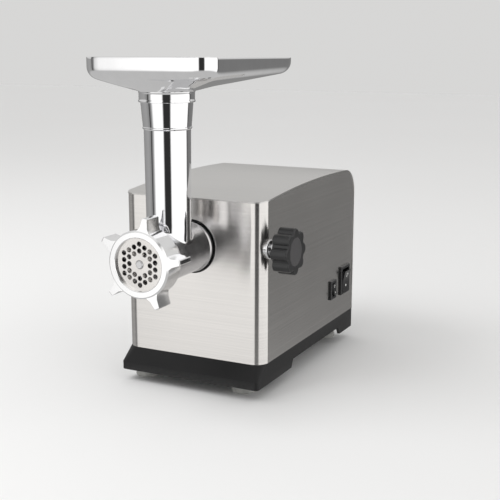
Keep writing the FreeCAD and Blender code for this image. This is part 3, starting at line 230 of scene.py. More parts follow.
class Shader:
    """A material under construction, with short calls for its nodes."""

    def __init__(self, name):
        self.mat = bpy.data.materials.new(name)
        self.mat.use_nodes = True
        self.nodes = self.mat.node_tree.nodes
        self.links = self.mat.node_tree.links
        self.bsdf = self.nodes["Principled BSDF"]
        self.coords = self.nodes.new("ShaderNodeTexCoord").outputs["Object"]

    def set(self, **values):
        """Constant values on the shader's own sockets."""
        for key, value in values.items():
            self.bsdf.inputs[key.replace("_", " ")].default_value = value

    def link(self, source, socket):
        self.links.new(source, self.bsdf.inputs[socket])

    def noise(self, scale, stretch=(1, 1, 1), detail=3.0, rough=0.5, seed=0.0):
        """Noise from object coordinates, scale in features per metre, stretched per axis."""
        mapping = self.nodes.new("ShaderNodeMapping")
        mapping.inputs["Scale"].default_value = stretch
        mapping.inputs["Location"].default_value = (seed, seed * 0.7, seed * 1.3)
        self.links.new(self.coords, mapping.inputs["Vector"])
        node = self.nodes.new("ShaderNodeTexNoise")
        node.inputs["Scale"].default_value = scale
        node.inputs["Detail"].default_value = detail
        node.inputs["Roughness"].default_value = rough
        self.links.new(mapping.outputs["Vector"], node.inputs["Vector"])
        return node.outputs["Fac"]

    def cells(self, scale, seed=0.0):
        """Distance to the nearest of scattered points, for grain."""
        mapping = self.nodes.new("ShaderNodeMapping")
        mapping.inputs["Location"].default_value = (seed, seed, seed)
        self.links.new(self.coords, mapping.inputs["Vector"])
        node = self.nodes.new("ShaderNodeTexVoronoi")
        node.inputs["Scale"].default_value = scale
        self.links.new(mapping.outputs["Vector"], node.inputs["Vector"])
        return node.outputs["Distance"]

    def ramp(self, value, stops):
        """Colours or greys along a value."""
        node = self.nodes.new("ShaderNodeValToRGB")
        ramp = node.color_ramp
        while len(ramp.elements) < len(stops):
            ramp.elements.new(0.5)
        for element, (place, colour) in zip(ramp.elements, stops):
            element.position = place
            element.color = (*colour, 1) if len(colour) == 3 else colour
        self.links.new(value, node.inputs["Fac"])
        return node.outputs["Color"]

    def spread(self, value, low, high, from_low=0.3, from_high=0.7):
        """A value taken from one span to another."""
        node = self.nodes.new("ShaderNodeMapRange")
        for key, v in (("From Min", from_low), ("From Max", from_high), ("To Min", low), ("To Max", high)):
            node.inputs[key].default_value = v
        self.links.new(value, node.inputs["Value"])
        return node.outputs["Result"]

    def math(self, kind, a, b):
        node = self.nodes.new("ShaderNodeMath")
        node.operation = kind
        for socket, v in zip(node.inputs, (a, b)):
            if isinstance(v, (int, float)):
                socket.default_value = v
            else:
                self.links.new(v, socket)
        return node.outputs["Value"]

    def bump(self, *layers):
        """Bump from (height, strength, distance) layers, the last on top."""
        normal = None
        for height, strength, distance in layers:
            node = self.nodes.new("ShaderNodeBump")
            node.inputs["Strength"].default_value = strength
            node.inputs["Distance"].default_value = distance
            self.links.new(height, node.inputs["Height"])
            if normal is not None:
                self.links.new(normal, node.inputs["Normal"])
            normal = node.outputs["Normal"]
        self.link(normal, "Normal")

    def radial_tangent(self, axis):
        node = self.nodes.new("ShaderNodeTangent")
        node.direction_type = "RADIAL"
        node.axis = axis
        self.link(node.outputs["Tangent"], "Tangent")

    def painted_edge_highlight(self, low, high):
        """Greater on convex edges, from the surface's own pointiness: the mask of a painted edge highlight.
        """
        node = self.nodes.new("ShaderNodeNewGeometry")
        return self.spread(node.outputs["Pointiness"], 0.0, 1.0, low, high)


def brushed(name, colour, stretch, tangent_axis, rough=0.3, aniso=0.75, turn=0.0):
    """Brushed steel: fine lines along the grain, uneven sheen, a few deeper strokes."""
    s = Shader(name)
    fine = s.noise(1, stretch=stretch, detail=4, rough=0.6)
    coarse = s.noise(1, stretch=tuple(v * 0.22 for v in stretch), detail=3, seed=4.0)
    cloud = s.noise(14, detail=2, seed=9.0)
    dark = tuple(c * 0.93 for c in colour)
    light = tuple(min(1.0, c * 1.04) for c in colour)
    mixed = s.math("ADD", s.math("MULTIPLY", fine, 0.45), s.math("MULTIPLY", coarse, 0.35))
    mixed = s.math("ADD", mixed, s.math("MULTIPLY", cloud, 0.2))
    s.link(s.ramp(mixed, [(0.36, dark), (0.62, light)]), "Base Color")
    s.link(s.spread(mixed, rough * 0.86, rough * 1.15), "Roughness")
    s.set(Metallic=1.0, Anisotropic=aniso, Anisotropic_Rotation=turn)
    s.radial_tangent(tangent_axis)
    s.bump((coarse, 0.05, 0.00003), (fine, 0.12, 0.00002))
    return s.mat


def polished(name, colour, rough=0.05, waviness=0.04, haze=0.03):
    """Mirror-polished metal: slight waviness of the casting, polishing haze and hairline scratches."""
    s = Shader(name)
    wave = s.noise(38, detail=1, rough=0.3)
    haze_noise = s.noise(90, detail=3, seed=3.0)
    hair = s.noise(1, stretch=(900, 500, 60), detail=5, rough=0.7, seed=6.0)
    tint = s.ramp(haze_noise, [(0.3, tuple(c * 0.955 for c in colour)), (0.7, colour)])
    s.link(tint, "Base Color")
    s.link(s.math("ADD", s.spread(haze_noise, rough, rough + haze), s.spread(hair, 0.0, 0.02, 0.55, 0.75)),
           "Roughness")
    s.set(Metallic=1.0)
    s.bump((wave, waviness, 0.0008), (hair, 0.04, 0.00002))
    return s.mat


def satin_metal(name, colour, rough=0.3, grain=900.0, depth=0.25, spots=None):
    """Plain machined or cast metal with a fine grain and slight stains."""
    s = Shader(name)
    grain_noise = s.noise(grain, detail=4, rough=0.6)
    stain = s.noise(45, detail=4, seed=2.0)
    tone = s.math("ADD", s.math("MULTIPLY", grain_noise, 0.35), s.math("MULTIPLY", stain, 0.65))
    dark = spots or tuple(c * 0.78 for c in colour)
    s.link(s.ramp(tone, [(0.32, dark), (0.52, colour), (0.75, tuple(min(1, c * 1.08) for c in colour))]),
           "Base Color")
    s.link(s.spread(tone, rough * 0.75, rough * 1.25), "Roughness")
    s.set(Metallic=1.0)
    s.bump((stain, 0.08, 0.0003), (grain_noise, depth, 0.00008))
    return s.mat


def turned_metal(name, colour, rough=0.24, rings=1400.0):
    """Metal faced on a lathe: fine rings round the grinding axis."""
    s = Shader(name)
    mapping = s.nodes.new("ShaderNodeMapping")
    mapping.inputs["Location"].default_value = (-mid_x, 0, -axis_z)
    mapping.inputs["Scale"].default_value = (1, 0, 1)
    s.links.new(s.coords, mapping.inputs["Vector"])
    length = s.nodes.new("ShaderNodeVectorMath")
    length.operation = "LENGTH"
    s.links.new(mapping.outputs["Vector"], length.inputs[0])
    lines = s.math("SINE", s.math("MULTIPLY", length.outputs["Value"], rings * math.tau), 0.0)
    uneven = s.noise(160, detail=4)
    tone = s.math("ADD", s.math("MULTIPLY", lines, 0.08), uneven)
    s.link(s.ramp(tone, [(0.3, tuple(c * 0.86 for c in colour)), (0.7, colour)]), "Base Color")
    s.link(s.spread(tone, rough * 0.8, rough * 1.2), "Roughness")
    s.set(Metallic=1.0, Anisotropic=0.4)
    s.radial_tangent("Y")
    s.bump((uneven, 0.06, 0.0002), (lines, 0.06, 0.00002))
    return s.mat


def plastic(name, colour, rough=0.42, grain=2600.0, depth=0.3, sheen=0.5, edge_highlight=0.035):
    """Moulded plastic: fine spark-eroded grain, uneven gloss, and a painted highlight that makes the convex
    edges a little lighter.
    """
    s = Shader(name)
    grain_cells = s.cells(grain)
    cloud = s.noise(30, detail=4, seed=5.0)
    dust = s.noise(420, detail=3, seed=8.0)
    base = s.ramp(cloud, [(0.3, tuple(c * 0.8 for c in colour)), (0.7, tuple(c * 1.25 for c in colour))])
    # Painted highlight: convex edges a little lighter in the base colour, broken up by the dust noise.
    mix = s.nodes.new("ShaderNodeMix")
    mix.data_type = "RGBA"
    s.links.new(s.math("MULTIPLY", s.painted_edge_highlight(0.52, 0.62), s.spread(dust, 0.2, 1.0)), mix.inputs["Factor"])
    s.links.new(base, mix.inputs["A"])
    mix.inputs["B"].default_value = (*[min(1.0, c + edge_highlight) for c in colour], 1)
    s.link(mix.outputs["Result"], "Base Color")
    s.link(s.spread(cloud, rough - 0.05, rough + 0.07), "Roughness")
    s.set(Specular_IOR_Level=sheen)
    s.bump((dust, 0.05, 0.00008), (grain_cells, depth, 0.00006))
    return s.mat


def rubber(name, colour):
    """Soft rubber: matt, with dust and a pitted skin."""
    s = Shader(name)
    pits = s.cells(1500)
    dust = s.noise(160, detail=5, seed=1.0)
    dark, light = tuple(c * 0.8 for c in colour), tuple(min(1, c * 1.12) for c in colour)
    s.link(s.ramp(dust, [(0.3, dark), (0.7, light)]), "Base Color")
    s.link(s.spread(dust, 0.66, 0.86), "Roughness")
    s.set(Specular_IOR_Level=0.35)
    s.bump((dust, 0.12, 0.0002), (pits, 0.25, 0.0001))
    return s.mat


def laminations(name, colour):
    """Stacked electrical sheet: dark lines between the sheets along the motor's axis."""
    s = Shader(name)
    sheet = s.noise(1, stretch=(3, 2200, 3), detail=1)
    stain = s.noise(70, detail=4, seed=2.0)
    tone = s.math("ADD", s.math("MULTIPLY", sheet, 0.6), s.math("MULTIPLY", stain, 0.4))
    s.link(s.ramp(tone, [(0.38, tuple(c * 0.45 for c in colour)), (0.55, colour)]), "Base Color")
    s.link(s.spread(stain, 0.4, 0.6), "Roughness")
    s.set(Metallic=0.9)
    s.bump((sheet, 0.4, 0.0001))
    return s.mat


def winding(name, colour):
    """Enamelled wire laid in turns."""
    s = Shader(name)
    turns = s.noise(1, stretch=(60, 1300, 1300), detail=2)
    s.link(s.ramp(turns, [(0.35, tuple(c * 0.35 for c in colour)), (0.6, colour)]), "Base Color")
    s.link(s.spread(turns, 0.25, 0.45), "Roughness")
    s.set(Metallic=0.8, Coat_Weight=0.4)
    s.bump((turns, 0.7, 0.0003))
    return s.mat


LIB = {
    "case": brushed("case_steel", (0.77, 0.75, 0.73), (4, 4, 2600), "Z", rough=0.22, aniso=0.8, turn=0.25),
    "cover": brushed("cover_steel", (0.68, 0.67, 0.655), (4, 2600, 2600), "X", rough=0.3, aniso=0.7,
                     turn=0.25),
    "mirror": polished("polished_head", (0.92, 0.92, 0.935), rough=0.035, waviness=0.05),
    "tray": polished("polished_tray", (0.93, 0.93, 0.94), rough=0.03, waviness=0.06),
    "barrel": polished("polished_barrel", (0.82, 0.82, 0.84), rough=0.14, waviness=0.05, haze=0.08),
    "nut": polished("polished_nut", (0.97, 0.97, 0.975), rough=0.09, waviness=0.06, haze=0.08),
    "plate": turned_metal("ground_plate", (0.93, 0.905, 0.88), rough=0.27),
    "blade": satin_metal("knife_steel", (0.62, 0.62, 0.62), rough=0.24, grain=1400, depth=0.15),
    "auger": satin_metal("auger_casting", (0.72, 0.72, 0.73), rough=0.26, grain=500, depth=0.2),
    "chrome": polished("plated_screw", (0.80, 0.80, 0.81), rough=0.09, waviness=0.02, haze=0.05),
    "gear": satin_metal("gear_steel", (0.42, 0.42, 0.43), rough=0.32, grain=800, depth=0.2),
    "cast": satin_metal("diecast", (0.58, 0.58, 0.57), rough=0.48, grain=620, depth=0.45),
    "bronze": satin_metal("bronze", (0.66, 0.43, 0.2), rough=0.34, grain=900, depth=0.2,
                          spots=(0.42, 0.25, 0.11)),
    "zinc": satin_metal("zinc_screw", (0.66, 0.65, 0.61), rough=0.3, grain=1500, depth=0.2),
    "black": plastic("base_plastic", (0.008, 0.008, 0.0085), rough=0.42, depth=0.18, sheen=0.34, edge_highlight=0.02),
    "gloss": plastic("switch_plastic", (0.012, 0.012, 0.013), rough=0.24, grain=3400, depth=0.06, edge_highlight=0.03),
    "knob": plastic("knob_plastic", (0.018, 0.018, 0.019), rough=0.3, grain=3000, depth=0.12, edge_highlight=0.04),
    "knob_face": plastic("knob_face_grain", (0.05, 0.048, 0.05), rough=0.5, grain=1500, depth=0.7, edge_highlight=0.06),
    "nylon": plastic("natural_nylon", (0.72, 0.70, 0.62), rough=0.42, grain=1800, depth=0.15, edge_highlight=0.05),
    "fan": plastic("fan_plastic", (0.05, 0.05, 0.052), rough=0.45, grain=2000, depth=0.25),
    "mark": plastic("mark_paint", (0.75, 0.75, 0.73), rough=0.5, grain=3000, depth=0.1),
    "rubber": rubber("foot_rubber", (0.50, 0.50, 0.48)),
    "stack": laminations("sheet_stack", (0.36, 0.36, 0.38)),
    "copper": winding("copper_wire", (0.75, 0.33, 0.13)),
    "carbon": satin_metal("carbon_block", (0.05, 0.05, 0.052), rough=0.6, grain=700, depth=0.3),
}

CAD_LOOKS = {
    "case": ["steel_wrap"],
    "cover": ["top_cover"],
    "black": ["base", "socket_trim", "cord_gland"],
    "gloss": ["main_switch_case", "small_switch_case", "main_rocker", "small_rocker"],
    "rubber": ["foot_front_left", "foot_front_right", "foot_rear_left", "foot_rear_right"],
    "zinc": ["foot_screws", "gearcase_screws", "motor_bolts", "chassis_screws",
             "main_switch_pin", "small_switch_pin"],
    "chrome": ["clamp_bush", "clamp_screw"],
    "knob": ["clamp_knob"],
    "knob_face": ["knob_cap"],
    "nut": ["ring_nut"],
    "plate": ["hole_plate"],
    "blade": ["knife", "plate_key"],
    "auger": ["auger"],
    "bronze": ["clamp_pad", "barrel_bush", "output_bushes", "idler_bushes", "brush_holders"],
    "nylon": ["thrust_washer", "first_gear"],
    "gear": ["output_gear", "second_pinion", "second_gear", "first_pinion", "motor_shaft", "motor_bearings"],
    "cast": ["gearcase_front", "gearcase_cover", "motor_bracket"],
    "stack": ["stator_core", "armature_core"],
    "copper": ["field_coils", "armature_windings", "commutator"],
    "fan": ["cooling_fan"],
    "carbon": ["carbon_brushes"],
}


def dress(obj, look):
    obj.data.materials.clear()
    obj.data.materials.append(LIB[look])


def soften_group():
    """Node group that joins a CAD mesh's faces and shades them all smooth."""
    group = bpy.data.node_groups.new("join_and_smooth", "GeometryNodeTree")
    group.interface.new_socket("Geometry", in_out="INPUT", socket_type="NodeSocketGeometry")
    group.interface.new_socket("Geometry", in_out="OUTPUT", socket_type="NodeSocketGeometry")
    nodes, links = group.nodes, group.links
    start, end = nodes.new("NodeGroupInput"), nodes.new("NodeGroupOutput")
    merge = nodes.new("GeometryNodeMergeByDistance")
    merge.inputs["Distance"].default_value = 2e-6
    smooth = nodes.new("GeometryNodeSetShadeSmooth")
    links.new(start.outputs[0], merge.inputs["Geometry"])
    links.new(merge.outputs["Geometry"], smooth.inputs["Geometry"])
    links.new(smooth.outputs["Geometry"], end.inputs[0])
    return group


JOIN = soften_group()


def soften(node, width, segments=2, angle=34.0):
    """Rounds the real edges of a CAD node by modifiers alone."""
    obj = frame["nodes"][node]
    join = obj.modifiers.new("join", "NODES")
    join.node_group = JOIN
    flat = obj.modifiers.new("flat", "DECIMATE")
    flat.decimate_type = "DISSOLVE"
    flat.angle_limit = math.radians(0.4)
    bevel = obj.modifiers.new("edges", "BEVEL")
    bevel.width = width
    bevel.segments = segments
    bevel.limit_method = "ANGLE"
    bevel.angle_limit = math.radians(angle)
    bevel.use_clamp_overlap = True
    bevel.miter_outer = "MITER_ARC"
    normals = obj.modifiers.new("normals", "WEIGHTED_NORMAL")
    normals.keep_sharp = True
    normals.weight = 60


# ---------------------------------------------------------------- grinding head


def barrel_surface(x, y, outline):
    """Height of the barrel's outside above the axis at a place in plan."""
    r = outline[-1][0]
    for (ra, ya), (rb, yb) in zip(outline, outline[1:]):
        if ya <= y <= yb:
            r = ra + (rb - ra) * (y - ya) / max(yb - ya, 1e-9)
            break
    return axis_z + math.sqrt(max(r * r - (x - mid_x) ** 2, 1e-9))


def head_outline():
    """The barrel's outside from the threaded front to the shank's end, as (radius, y)."""
    y0, y1 = head_lo.y, head_hi.y
    thread_end = nut_hi.y + 0.5 * MM
    return [
        (thread_r, y0 + 0.8 * MM), (thread_r, thread_end), (thread_r - 1.5 * MM, thread_end + 3.5 * MM),
        (barrel_r, thread_end + 11.5 * MM), (barrel_r, front_y - 6 * MM), (shank_r, front_y - 4 * MM),
        (shank_r, y1 - 1 * MM), (shank_r - 1 * MM, y1),
    ]


def thread_wave(thread_end):
    """Radius change of the helical thread near the barrel's front."""

    def wave(angle, y):
        turn = (y / thread_pitch - angle / math.tau) % 1.0
        fade = max(0.0, min(1.0, (thread_end - y) / thread_pitch))
        return -thread_depth * fade * (1 - abs(2 * turn - 1))

    return wave


def make_barrel():
    """Barrel with its thread and shank, hollow inside, open under the feed tube."""
    outline = head_outline()
    y0, y1 = head_lo.y, head_hi.y
    thread_end = outline[1][1] - 1.0 * MM
    wall_y = neck.y + bore_r + bush_gap
    wave = thread_wave(thread_end)
    rings = []
    rows = int((thread_end - outline[0][1]) / (thread_pitch / 12))
    for k in range(rows + 1):
        y = outline[0][1] + (thread_end - outline[0][1]) * k / rows
        rings.append(ring_y(thread_r, y, wave))
    tail = rounded([(thread_r, thread_end)] + outline[1:], 1.2 * MM, closed=False)
    rings += [ring_y(r, y) for r, y in steps(tail)[1:]]
    bush_y = wall_y + bush_length
    seat_y = plate_hi.y + 0.2 * MM
    inside = [
        (shank_r - shank_wall, y1), (shank_r - shank_wall, bush_y), (bush_hole_r, bush_y),
        (bush_hole_r, wall_y), (chamber_r, wall_y), (chamber_r, knife_hi.y), (knife_room_r, knife_hi.y),
        (knife_room_r, seat_y), (plate_seat_r, seat_y), (plate_seat_r, y0 + 0.2 * MM),
        (plate_seat_r + 0.6 * MM, y0), (thread_r - 0.8 * MM, y0),
    ]
    rings += [ring_y(r, y) for r, y in steps(inside, 6 * MM)]
    barrel = piece("head_barrel", *skin(rings))
    cutter_rings = [ring_z(throat_r, axis_z), ring_z(throat_r, axis_z + 40 * MM)]
    points, faces = skin(cutter_rings, closed=False)
    faces += [tuple(range(ROUND - 1, -1, -1)), tuple(range(ROUND, 2 * ROUND))]
    cut(barrel, piece("bore_cutter", points, faces))
    return barrel


def make_tube():
    """Feed tube: flares into the barrel with a small round, widens above its bead, bored through."""
    outline = head_outline()
    rings = []
    rows = 9
    for row in range(rows + 1):
        t = row / rows
        ring = []
        for k in range(ROUND):
            a = math.tau * k / ROUND
            c, s = math.cos(a), math.sin(a)
            near = Vector((neck.x + tube_low_r * c, neck.y + tube_low_r * s, 0))
            far = Vector((neck.x + (tube_low_r + junction_r) * c, neck.y + (tube_low_r + junction_r) * s, 0))
            near.z = barrel_surface(near.x, near.y, outline)
            far.z = barrel_surface(far.x, far.y, outline) - 0.02 * MM
            top = near + Vector((0, 0, junction_r))
            ring.append(far * (1 - t) ** 2 + near * 2 * t * (1 - t) + top * t ** 2)
        rings.append(ring)
    wall_low = axis_z + barrel_r + junction_r + 2 * MM
    profile = [
        (tube_low_r, wall_low), (tube_mid_r, bead_z - 1.0 * MM), (bead_r, bead_z),
        (bead_r, bead_z + 1.0 * MM),
        (tube_mid_r + 0.7 * MM, bead_z + 1.6 * MM), (tube_top_r, tube_top - 6 * MM), (tube_top_r, tube_top),
        (bore_r, tube_top), (bore_r, throat_flare_z), (throat_r, axis_z + chamber_r),
    ]
    rings += [ring_z(r, z) for r, z in steps(rounded(profile, 0.35 * MM, closed=False), 8 * MM)]
    last = []
    for k in range(ROUND):
        a = math.tau * k / ROUND
        x = throat_r * math.cos(a)
        z = axis_z + math.sqrt(chamber_r ** 2 - x ** 2)
        last.append(Vector((neck.x + x, neck.y + throat_r * math.sin(a), z)))
    rings.append(last)
    return piece("head_tube", *skin(rings))


# ---------------------------------------------------------------- tray


def tray_plan(step, z, rear_change=0.0):
    """The tray's outline in plan, set in by a step and rising by rear_change towards the rear."""
    x0, x1 = tray_lo.x + step, tray_hi.x - step
    y0, y1 = tray_lo.y + step, tray_hi.y - step
    rf, rr = tray_corner_r - 0.6 * step, tray_rear_corner_r - 0.6 * step
    corners = [
        (x1 - rr, y1 - rr, rr, 0), (x0 + rr, y1 - rr, rr, 90),
        (x0 + rf, y0 + rf, rf, 180), (x1 - rf, y0 + rf, rf, 270),
    ]
    arc_steps = 14
    out = []
    for k, (cx, cy, r, start) in enumerate(corners):
        arc = []
        for j in range(arc_steps + 1):
            a = math.radians(start + 90 * j / arc_steps)
            arc.append(Vector((cx + r * math.cos(a), cy + r * math.sin(a), z)))
        nx, ny, nr, nstart = corners[(k + 1) % 4]
        b = math.radians(nstart)
        after = Vector((nx + nr * math.cos(b), ny + nr * math.sin(b), z))
        side_steps = 22
        out += arc
        out += [arc[-1].lerp(after, j / side_steps) for j in range(1, side_steps)]
    for point in out:
        point.z += rear_change * (point.y - tray_lo.y) / (tray_hi.y - tray_lo.y)
    return out


def make_tray():
    """Pressed pan: rolled rim, upright wall, rounded foot, floor falling to the collar over the tube."""
    wall_low = tray_hi.z - tray_wall_h
    rim = tray_hi.z
    low = tray_lo.z
    seam = tube_top + collar_over_tube
    plan = tray_plan(tray_round_r, wall_low)
    angles = [math.atan2(p.y - neck.y, p.x - neck.x) for p in plan]

    def circle(r, z):
        return [Vector((neck.x + r * math.cos(a), neck.y + r * math.sin(a), z)) for a in angles]

    def floor(inset, neck_r, drop, rows):
        """From the neck out to the wall's foot: a cone that rises, with a soft bend at each end."""
        t_in = inset
        a = math.radians(72)
        r = tray_round_r - t_in
        edge = tray_plan(t_in + r * (1 - math.cos(a)), wall_low - r * math.sin(a), tray_foot_rise)
        inner = circle(neck_r, seam + drop)
        out = []
        for j in range(rows + 1):
            t = j / rows
            lift = t + 0.035 * math.sin(math.pi * t)
            ring = []
            for p, q in zip(inner, edge):
                point = p.lerp(q, t)
                point.z = p.z + (q.z - p.z) * min(1.0, max(0.0, t ** 1.12 * 0.92 + 0.08 * lift))
                ring.append(point)
            out.append(ring)
        return out

    def wall(inset):
        """From the foot's round up to just under the rim."""
        r = tray_round_r - inset
        out = []
        for deg in (60, 48, 36, 24, 12, 0):
            a = math.radians(deg)
            out.append(tray_plan(inset + r * (1 - math.cos(a)), wall_low - r * math.sin(a), tray_foot_rise))
        for k in range(1, 5):
            t = k / 4
            change = tray_foot_rise * (1 - t) - tray_rear_drop * t
            out.append(tray_plan(inset, wall_low + (rim - 0.6 * MM - wall_low) * t, change))
        return out

    bead = collar_bead
    collar = [
        circle(collar_in_r, low), circle(collar_r + 0.3 * bead, low), circle(collar_r + bead, low + 0.3 * MM),
        circle(collar_r + bead, low + 1.6 * MM), circle(collar_r, low + 2.2 * MM),
        circle(collar_r, low + 3.4 * MM), circle(collar_r, seam - 3.0 * MM),
        circle(collar_r, seam - 1.8 * MM),
        circle(collar_r + bead, seam - 1.2 * MM), circle(collar_r + bead, seam - 0.4 * MM),
    ]
    outer = collar + floor(0.0, collar_r + 0.8 * MM, 0.0, 12) + wall(0.0)
    lip = [
        tray_plan(step, rim - down, -tray_rear_drop)
        for step, down in ((0.15 * MM, 0.2 * MM), (0.5 * MM, 0.0), (tray_t - 0.3 * MM, 0.0),
                           (tray_t, 0.4 * MM))
    ]
    inner = list(reversed(floor(tray_t, bore_r + 1.2 * MM, tray_t + 0.6 * MM, 12) + wall(tray_t)))
    inside = [
        circle(bore_r + 0.6 * MM, seam + 0.9 * MM), circle(bore_r + 0.5 * MM, seam),
        circle(bore_r + 0.5 * MM, tube_top + 0.1 * MM), circle(collar_in_r, tube_top + 0.1 * MM),
    ]
    return piece("tray_pan", *skin(outer + lip + inner + inside), sharp_deg=38)


# ---------------------------------------------------------------- small pieces on the case


def rocker_mark(name, node, tilt_deg, up, r, width):
    """A small raised ring printed on a rocker's hollow face, up from its pin."""
    lo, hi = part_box(node)
    case_bottom, case_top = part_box(node.replace("rocker", "switch_case"))
    mid_y, mid_z = (lo.y + hi.y) / 2, (case_bottom.z + case_top.z) / 2
    half = (case_top.z - case_bottom.z) / 2 - switch_wall - rocker_end_gap
    pin_x = case_hi.x - rocker_pin_depth
    face_x = case_top.x + rocker_dip - pin_x
    tilt = math.radians(tilt_deg)
    sections = ((r, -mark_root), (r, mark_height), (r + width, mark_height), (r + width, -mark_root))
    rings = []
    for radius, raised in sections:
        ring = []
        for k in range(ROUND // 4):
            a = math.tau * k / (ROUND // 4)
            z = up + radius * math.sin(a)
            x = face_x + (rocker_rise - rocker_dip) * (z / half) ** 2 + raised
            ring.append(Vector((pin_x + x * math.cos(tilt) + z * math.sin(tilt),
                                mid_y + radius * math.cos(a),
                                mid_z + z * math.cos(tilt) - x * math.sin(tilt))))
        rings.append(ring)
    return piece(name, *skin(rings))


# ---------------------------------------------------------------- build


for look, nodes in CAD_LOOKS.items():
    for node in nodes:
        dress(frame["nodes"][node], look)

EDGE_WIDTHS = {
    "steel_wrap": 0.25 * MM, "base": 0.7 * MM, "ring_nut": 0.7 * MM,
    "hole_plate": 0.25 * MM, "clamp_knob": 0.8 * MM, "knob_cap": 0.4 * MM, "clamp_bush": 0.3 * MM,
    "clamp_screw": 0.2 * MM, "main_switch_case": 0.5 * MM, "small_switch_case": 0.4 * MM,
    "main_rocker": 0.5 * MM, "small_rocker": 0.4 * MM, "cord_gland": 0.4 * MM, "socket_trim": 0.3 * MM,
    "foot_front_left": 0.5 * MM, "foot_front_right": 0.5 * MM, "foot_rear_left": 0.5 * MM,
    "foot_rear_right": 0.5 * MM, "knife": 0.2 * MM, "auger": 0.4 * MM,
}
for node, width in EDGE_WIDTHS.items():
    soften(node, width, segments=3 if width > 0.5 * MM else 2)

barrel = make_barrel()
dress(barrel, "barrel")
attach(barrel, "head")
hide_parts("grinder_body")

tube = make_tube()
dress(tube, "mirror")
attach(tube, "head")
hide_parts("grinder_body")

tray = make_tray()
dress(tray, "tray")
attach(tray, "tray")
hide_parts("tray")

MARKS = ((mark_up, 1.7 * MM, 0.8 * MM), (-mark_up, 0.3 * MM, 1.1 * MM))    # place, inner radius, width
for node, tilt, scale in (("main_rocker", rocker_tilt, 1.0), ("small_rocker", -rocker_tilt, 0.55)):
    for k, (up, r, width) in enumerate(MARKS):
        mark = rocker_mark(f"{node}_mark_{k}", node, tilt, up * scale, r * scale, width * scale)
        dress(mark, "mark")
        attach(mark, node)

# ---------------------------------------------------------------- floor, light and camera


def make_floor():
    """Plain pale floor, far larger than the view; mirrors see the studio instead of it."""
    mesh = bpy.data.meshes.new("floor")
    s = 6.0
    mesh.from_pydata([(-s, -s, 0), (s, -s, 0), (s, s, 0), (-s, s, 0)], [], [(0, 1, 2, 3)])
    floor = bpy.data.objects.new("floor", mesh)
    bpy.context.scene.collection.objects.link(floor)
    s = Shader("pale_floor")
    cloud = s.noise(0.8, detail=1)
    s.link(s.ramp(cloud, [(0.3, (0.875, 0.875, 0.875)), (0.7, (0.885, 0.885, 0.885))]), "Base Color")
    s.set(Roughness=0.9, Specular_IOR_Level=0.1)
    floor.data.materials.append(s.mat)
    floor.visible_glossy = False


class Sky:
    """The studio as the metal sees it: two tall soft boxes with a dark gap between, and a grey room."""

    def __init__(self):
        world = bpy.data.worlds.new("studio")
        bpy.context.scene.world = world
        world.use_nodes = True
        self.nodes, self.links = world.node_tree.nodes, world.node_tree.links
        self.out = self.nodes["Background"]
        coords = self.nodes.new("ShaderNodeTexCoord").outputs["Generated"]
        split = self.nodes.new("ShaderNodeSeparateXYZ")
        self.links.new(coords, split.inputs[0])
        x, y, self.up = split.outputs
        turn = self.math("ARCTAN2", x, self.math("MULTIPLY", y, -1.0))
        self.azimuth = self.math("MULTIPLY", turn, 180 / math.pi)

    def math(self, kind, a, b=0.0):
        node = self.nodes.new("ShaderNodeMath")
        node.operation = kind
        for socket, v in zip(node.inputs, (a, b)):
            if isinstance(v, (int, float)):
                socket.default_value = v
            else:
                self.links.new(v, socket)
        return node.outputs["Value"]

    def between(self, value, low, high, soft):
        """1 between two values, falling softly to 0 outside."""
        rise = self.step(value, low - soft, low + soft)
        fall = self.step(value, high - soft, high + soft)
        return self.math("SUBTRACT", rise, fall)

    def step(self, value, low, high):
        node = self.nodes.new("ShaderNodeMapRange")
        node.interpolation_type = "SMOOTHSTEP"
        node.inputs["From Min"].default_value = low
        node.inputs["From Max"].default_value = high
        self.links.new(value, node.inputs["Value"])
        return node.outputs["Result"]

    def blend(self, a, b, share):
        """a where share is 0, b where it is 1."""
        return self.math("ADD", self.math("MULTIPLY", a, self.math("SUBTRACT", 1.0, share)),
                         self.math("MULTIPLY", b, share))


BACKDROP = 0.68                               # what the camera sees past the floor's far edge
BELT = [                                      # light round the object: degrees from the front, strength
    (-180, 0.21), (-76, 0.36), (-58, 0.26), (-56, 0.04), (-52.5, 0.04), (-50.5, 0.18), (-43, 0.34),
    (-38, 0.80), (-33, 1.16), (9, 1.18), (15, 0.03), (43, 0.03), (49, 1.16), (134, 1.16), (137, 0.8),
    (139, 0.04), (142, 0.04), (145, 0.18), (180, 0.21),
]


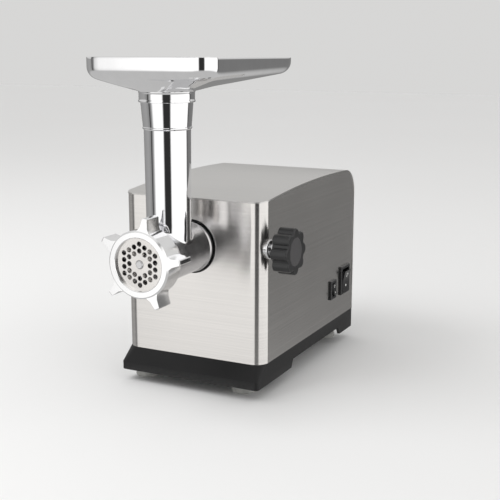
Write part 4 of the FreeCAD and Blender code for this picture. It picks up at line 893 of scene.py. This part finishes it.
def make_studio():
    """Two tall soft boxes with a dark gap between them, a grey room, and a paler ceiling and floor."""
    sky = Sky()
    ramp = sky.nodes.new("ShaderNodeValToRGB")
    while len(ramp.color_ramp.elements) < len(BELT):
        ramp.color_ramp.elements.new(0.5)
    for element, (degrees, strength) in zip(ramp.color_ramp.elements, BELT):
        element.position = degrees / 360 + 0.5
        element.color = (strength, strength, strength, 1)
    sky.links.new(sky.math("ADD", sky.math("MULTIPLY", sky.azimuth, 1 / 360), 0.5), ramp.inputs["Fac"])
    behind = sky.math("SUBTRACT", sky.step(sky.up, 0.0, 0.14), sky.between(sky.azimuth, -62, 141, 4))
    belt = sky.math("MAXIMUM", ramp.outputs["Color"], sky.math("MULTIPLY", behind, 0.66))
    below = sky.step(sky.math("MULTIPLY", sky.up, -1.0), 0.26, 0.46)
    light = sky.blend(belt, 0.80, sky.step(sky.up, 0.62, 0.86))
    light = sky.blend(light, 0.52, below)
    camera = sky.nodes.new("ShaderNodeLightPath").outputs["Is Camera Ray"]
    sky.links.new(sky.blend(light, BACKDROP, camera), sky.out.inputs["Strength"])
    sky.out.inputs["Color"].default_value = (1.0, 0.995, 0.985, 1)


def make_key_light():
    """Large soft key above the left shoulder, for the shadow under the object."""
    light = bpy.data.lights.new("key", "AREA")
    light.shape = "RECTANGLE"
    light.size, light.size_y = 1.2, 0.9
    light.energy = 14
    obj = bpy.data.objects.new("key", light)
    bpy.context.scene.collection.objects.link(obj)
    obj.location = (-0.9, -0.9, 1.5)
    aim = Vector((mid_x, 0, 0.1)) - obj.location
    obj.rotation_mode = "QUATERNION"
    obj.rotation_quaternion = aim.to_track_quat("-Z", "Y")
    obj.visible_camera = False
    obj.visible_glossy = False


def make_camera():
    """Eye level with the tray, to the right of the grinding axis, looking slightly down."""
    azimuth, down = math.radians(camera_azimuth), math.radians(camera_down)
    data = bpy.data.cameras.new("camera")
    data.lens = camera_lens
    data.sensor_width = 36
    camera = bpy.data.objects.new("camera", data)
    bpy.context.scene.collection.objects.link(camera)
    camera.location = camera_from + Vector((mid_x, front_y, 0))
    level = math.cos(down)
    forward = Vector((-math.sin(azimuth) * level, math.cos(azimuth) * level, -math.sin(down)))
    camera.rotation_mode = "QUATERNION"
    camera.rotation_quaternion = forward.to_track_quat("-Z", "Y")
    bpy.context.scene.camera = camera


make_floor()
make_studio()
make_key_light()
make_camera()
bpy.context.scene.view_settings.view_transform = "Standard"
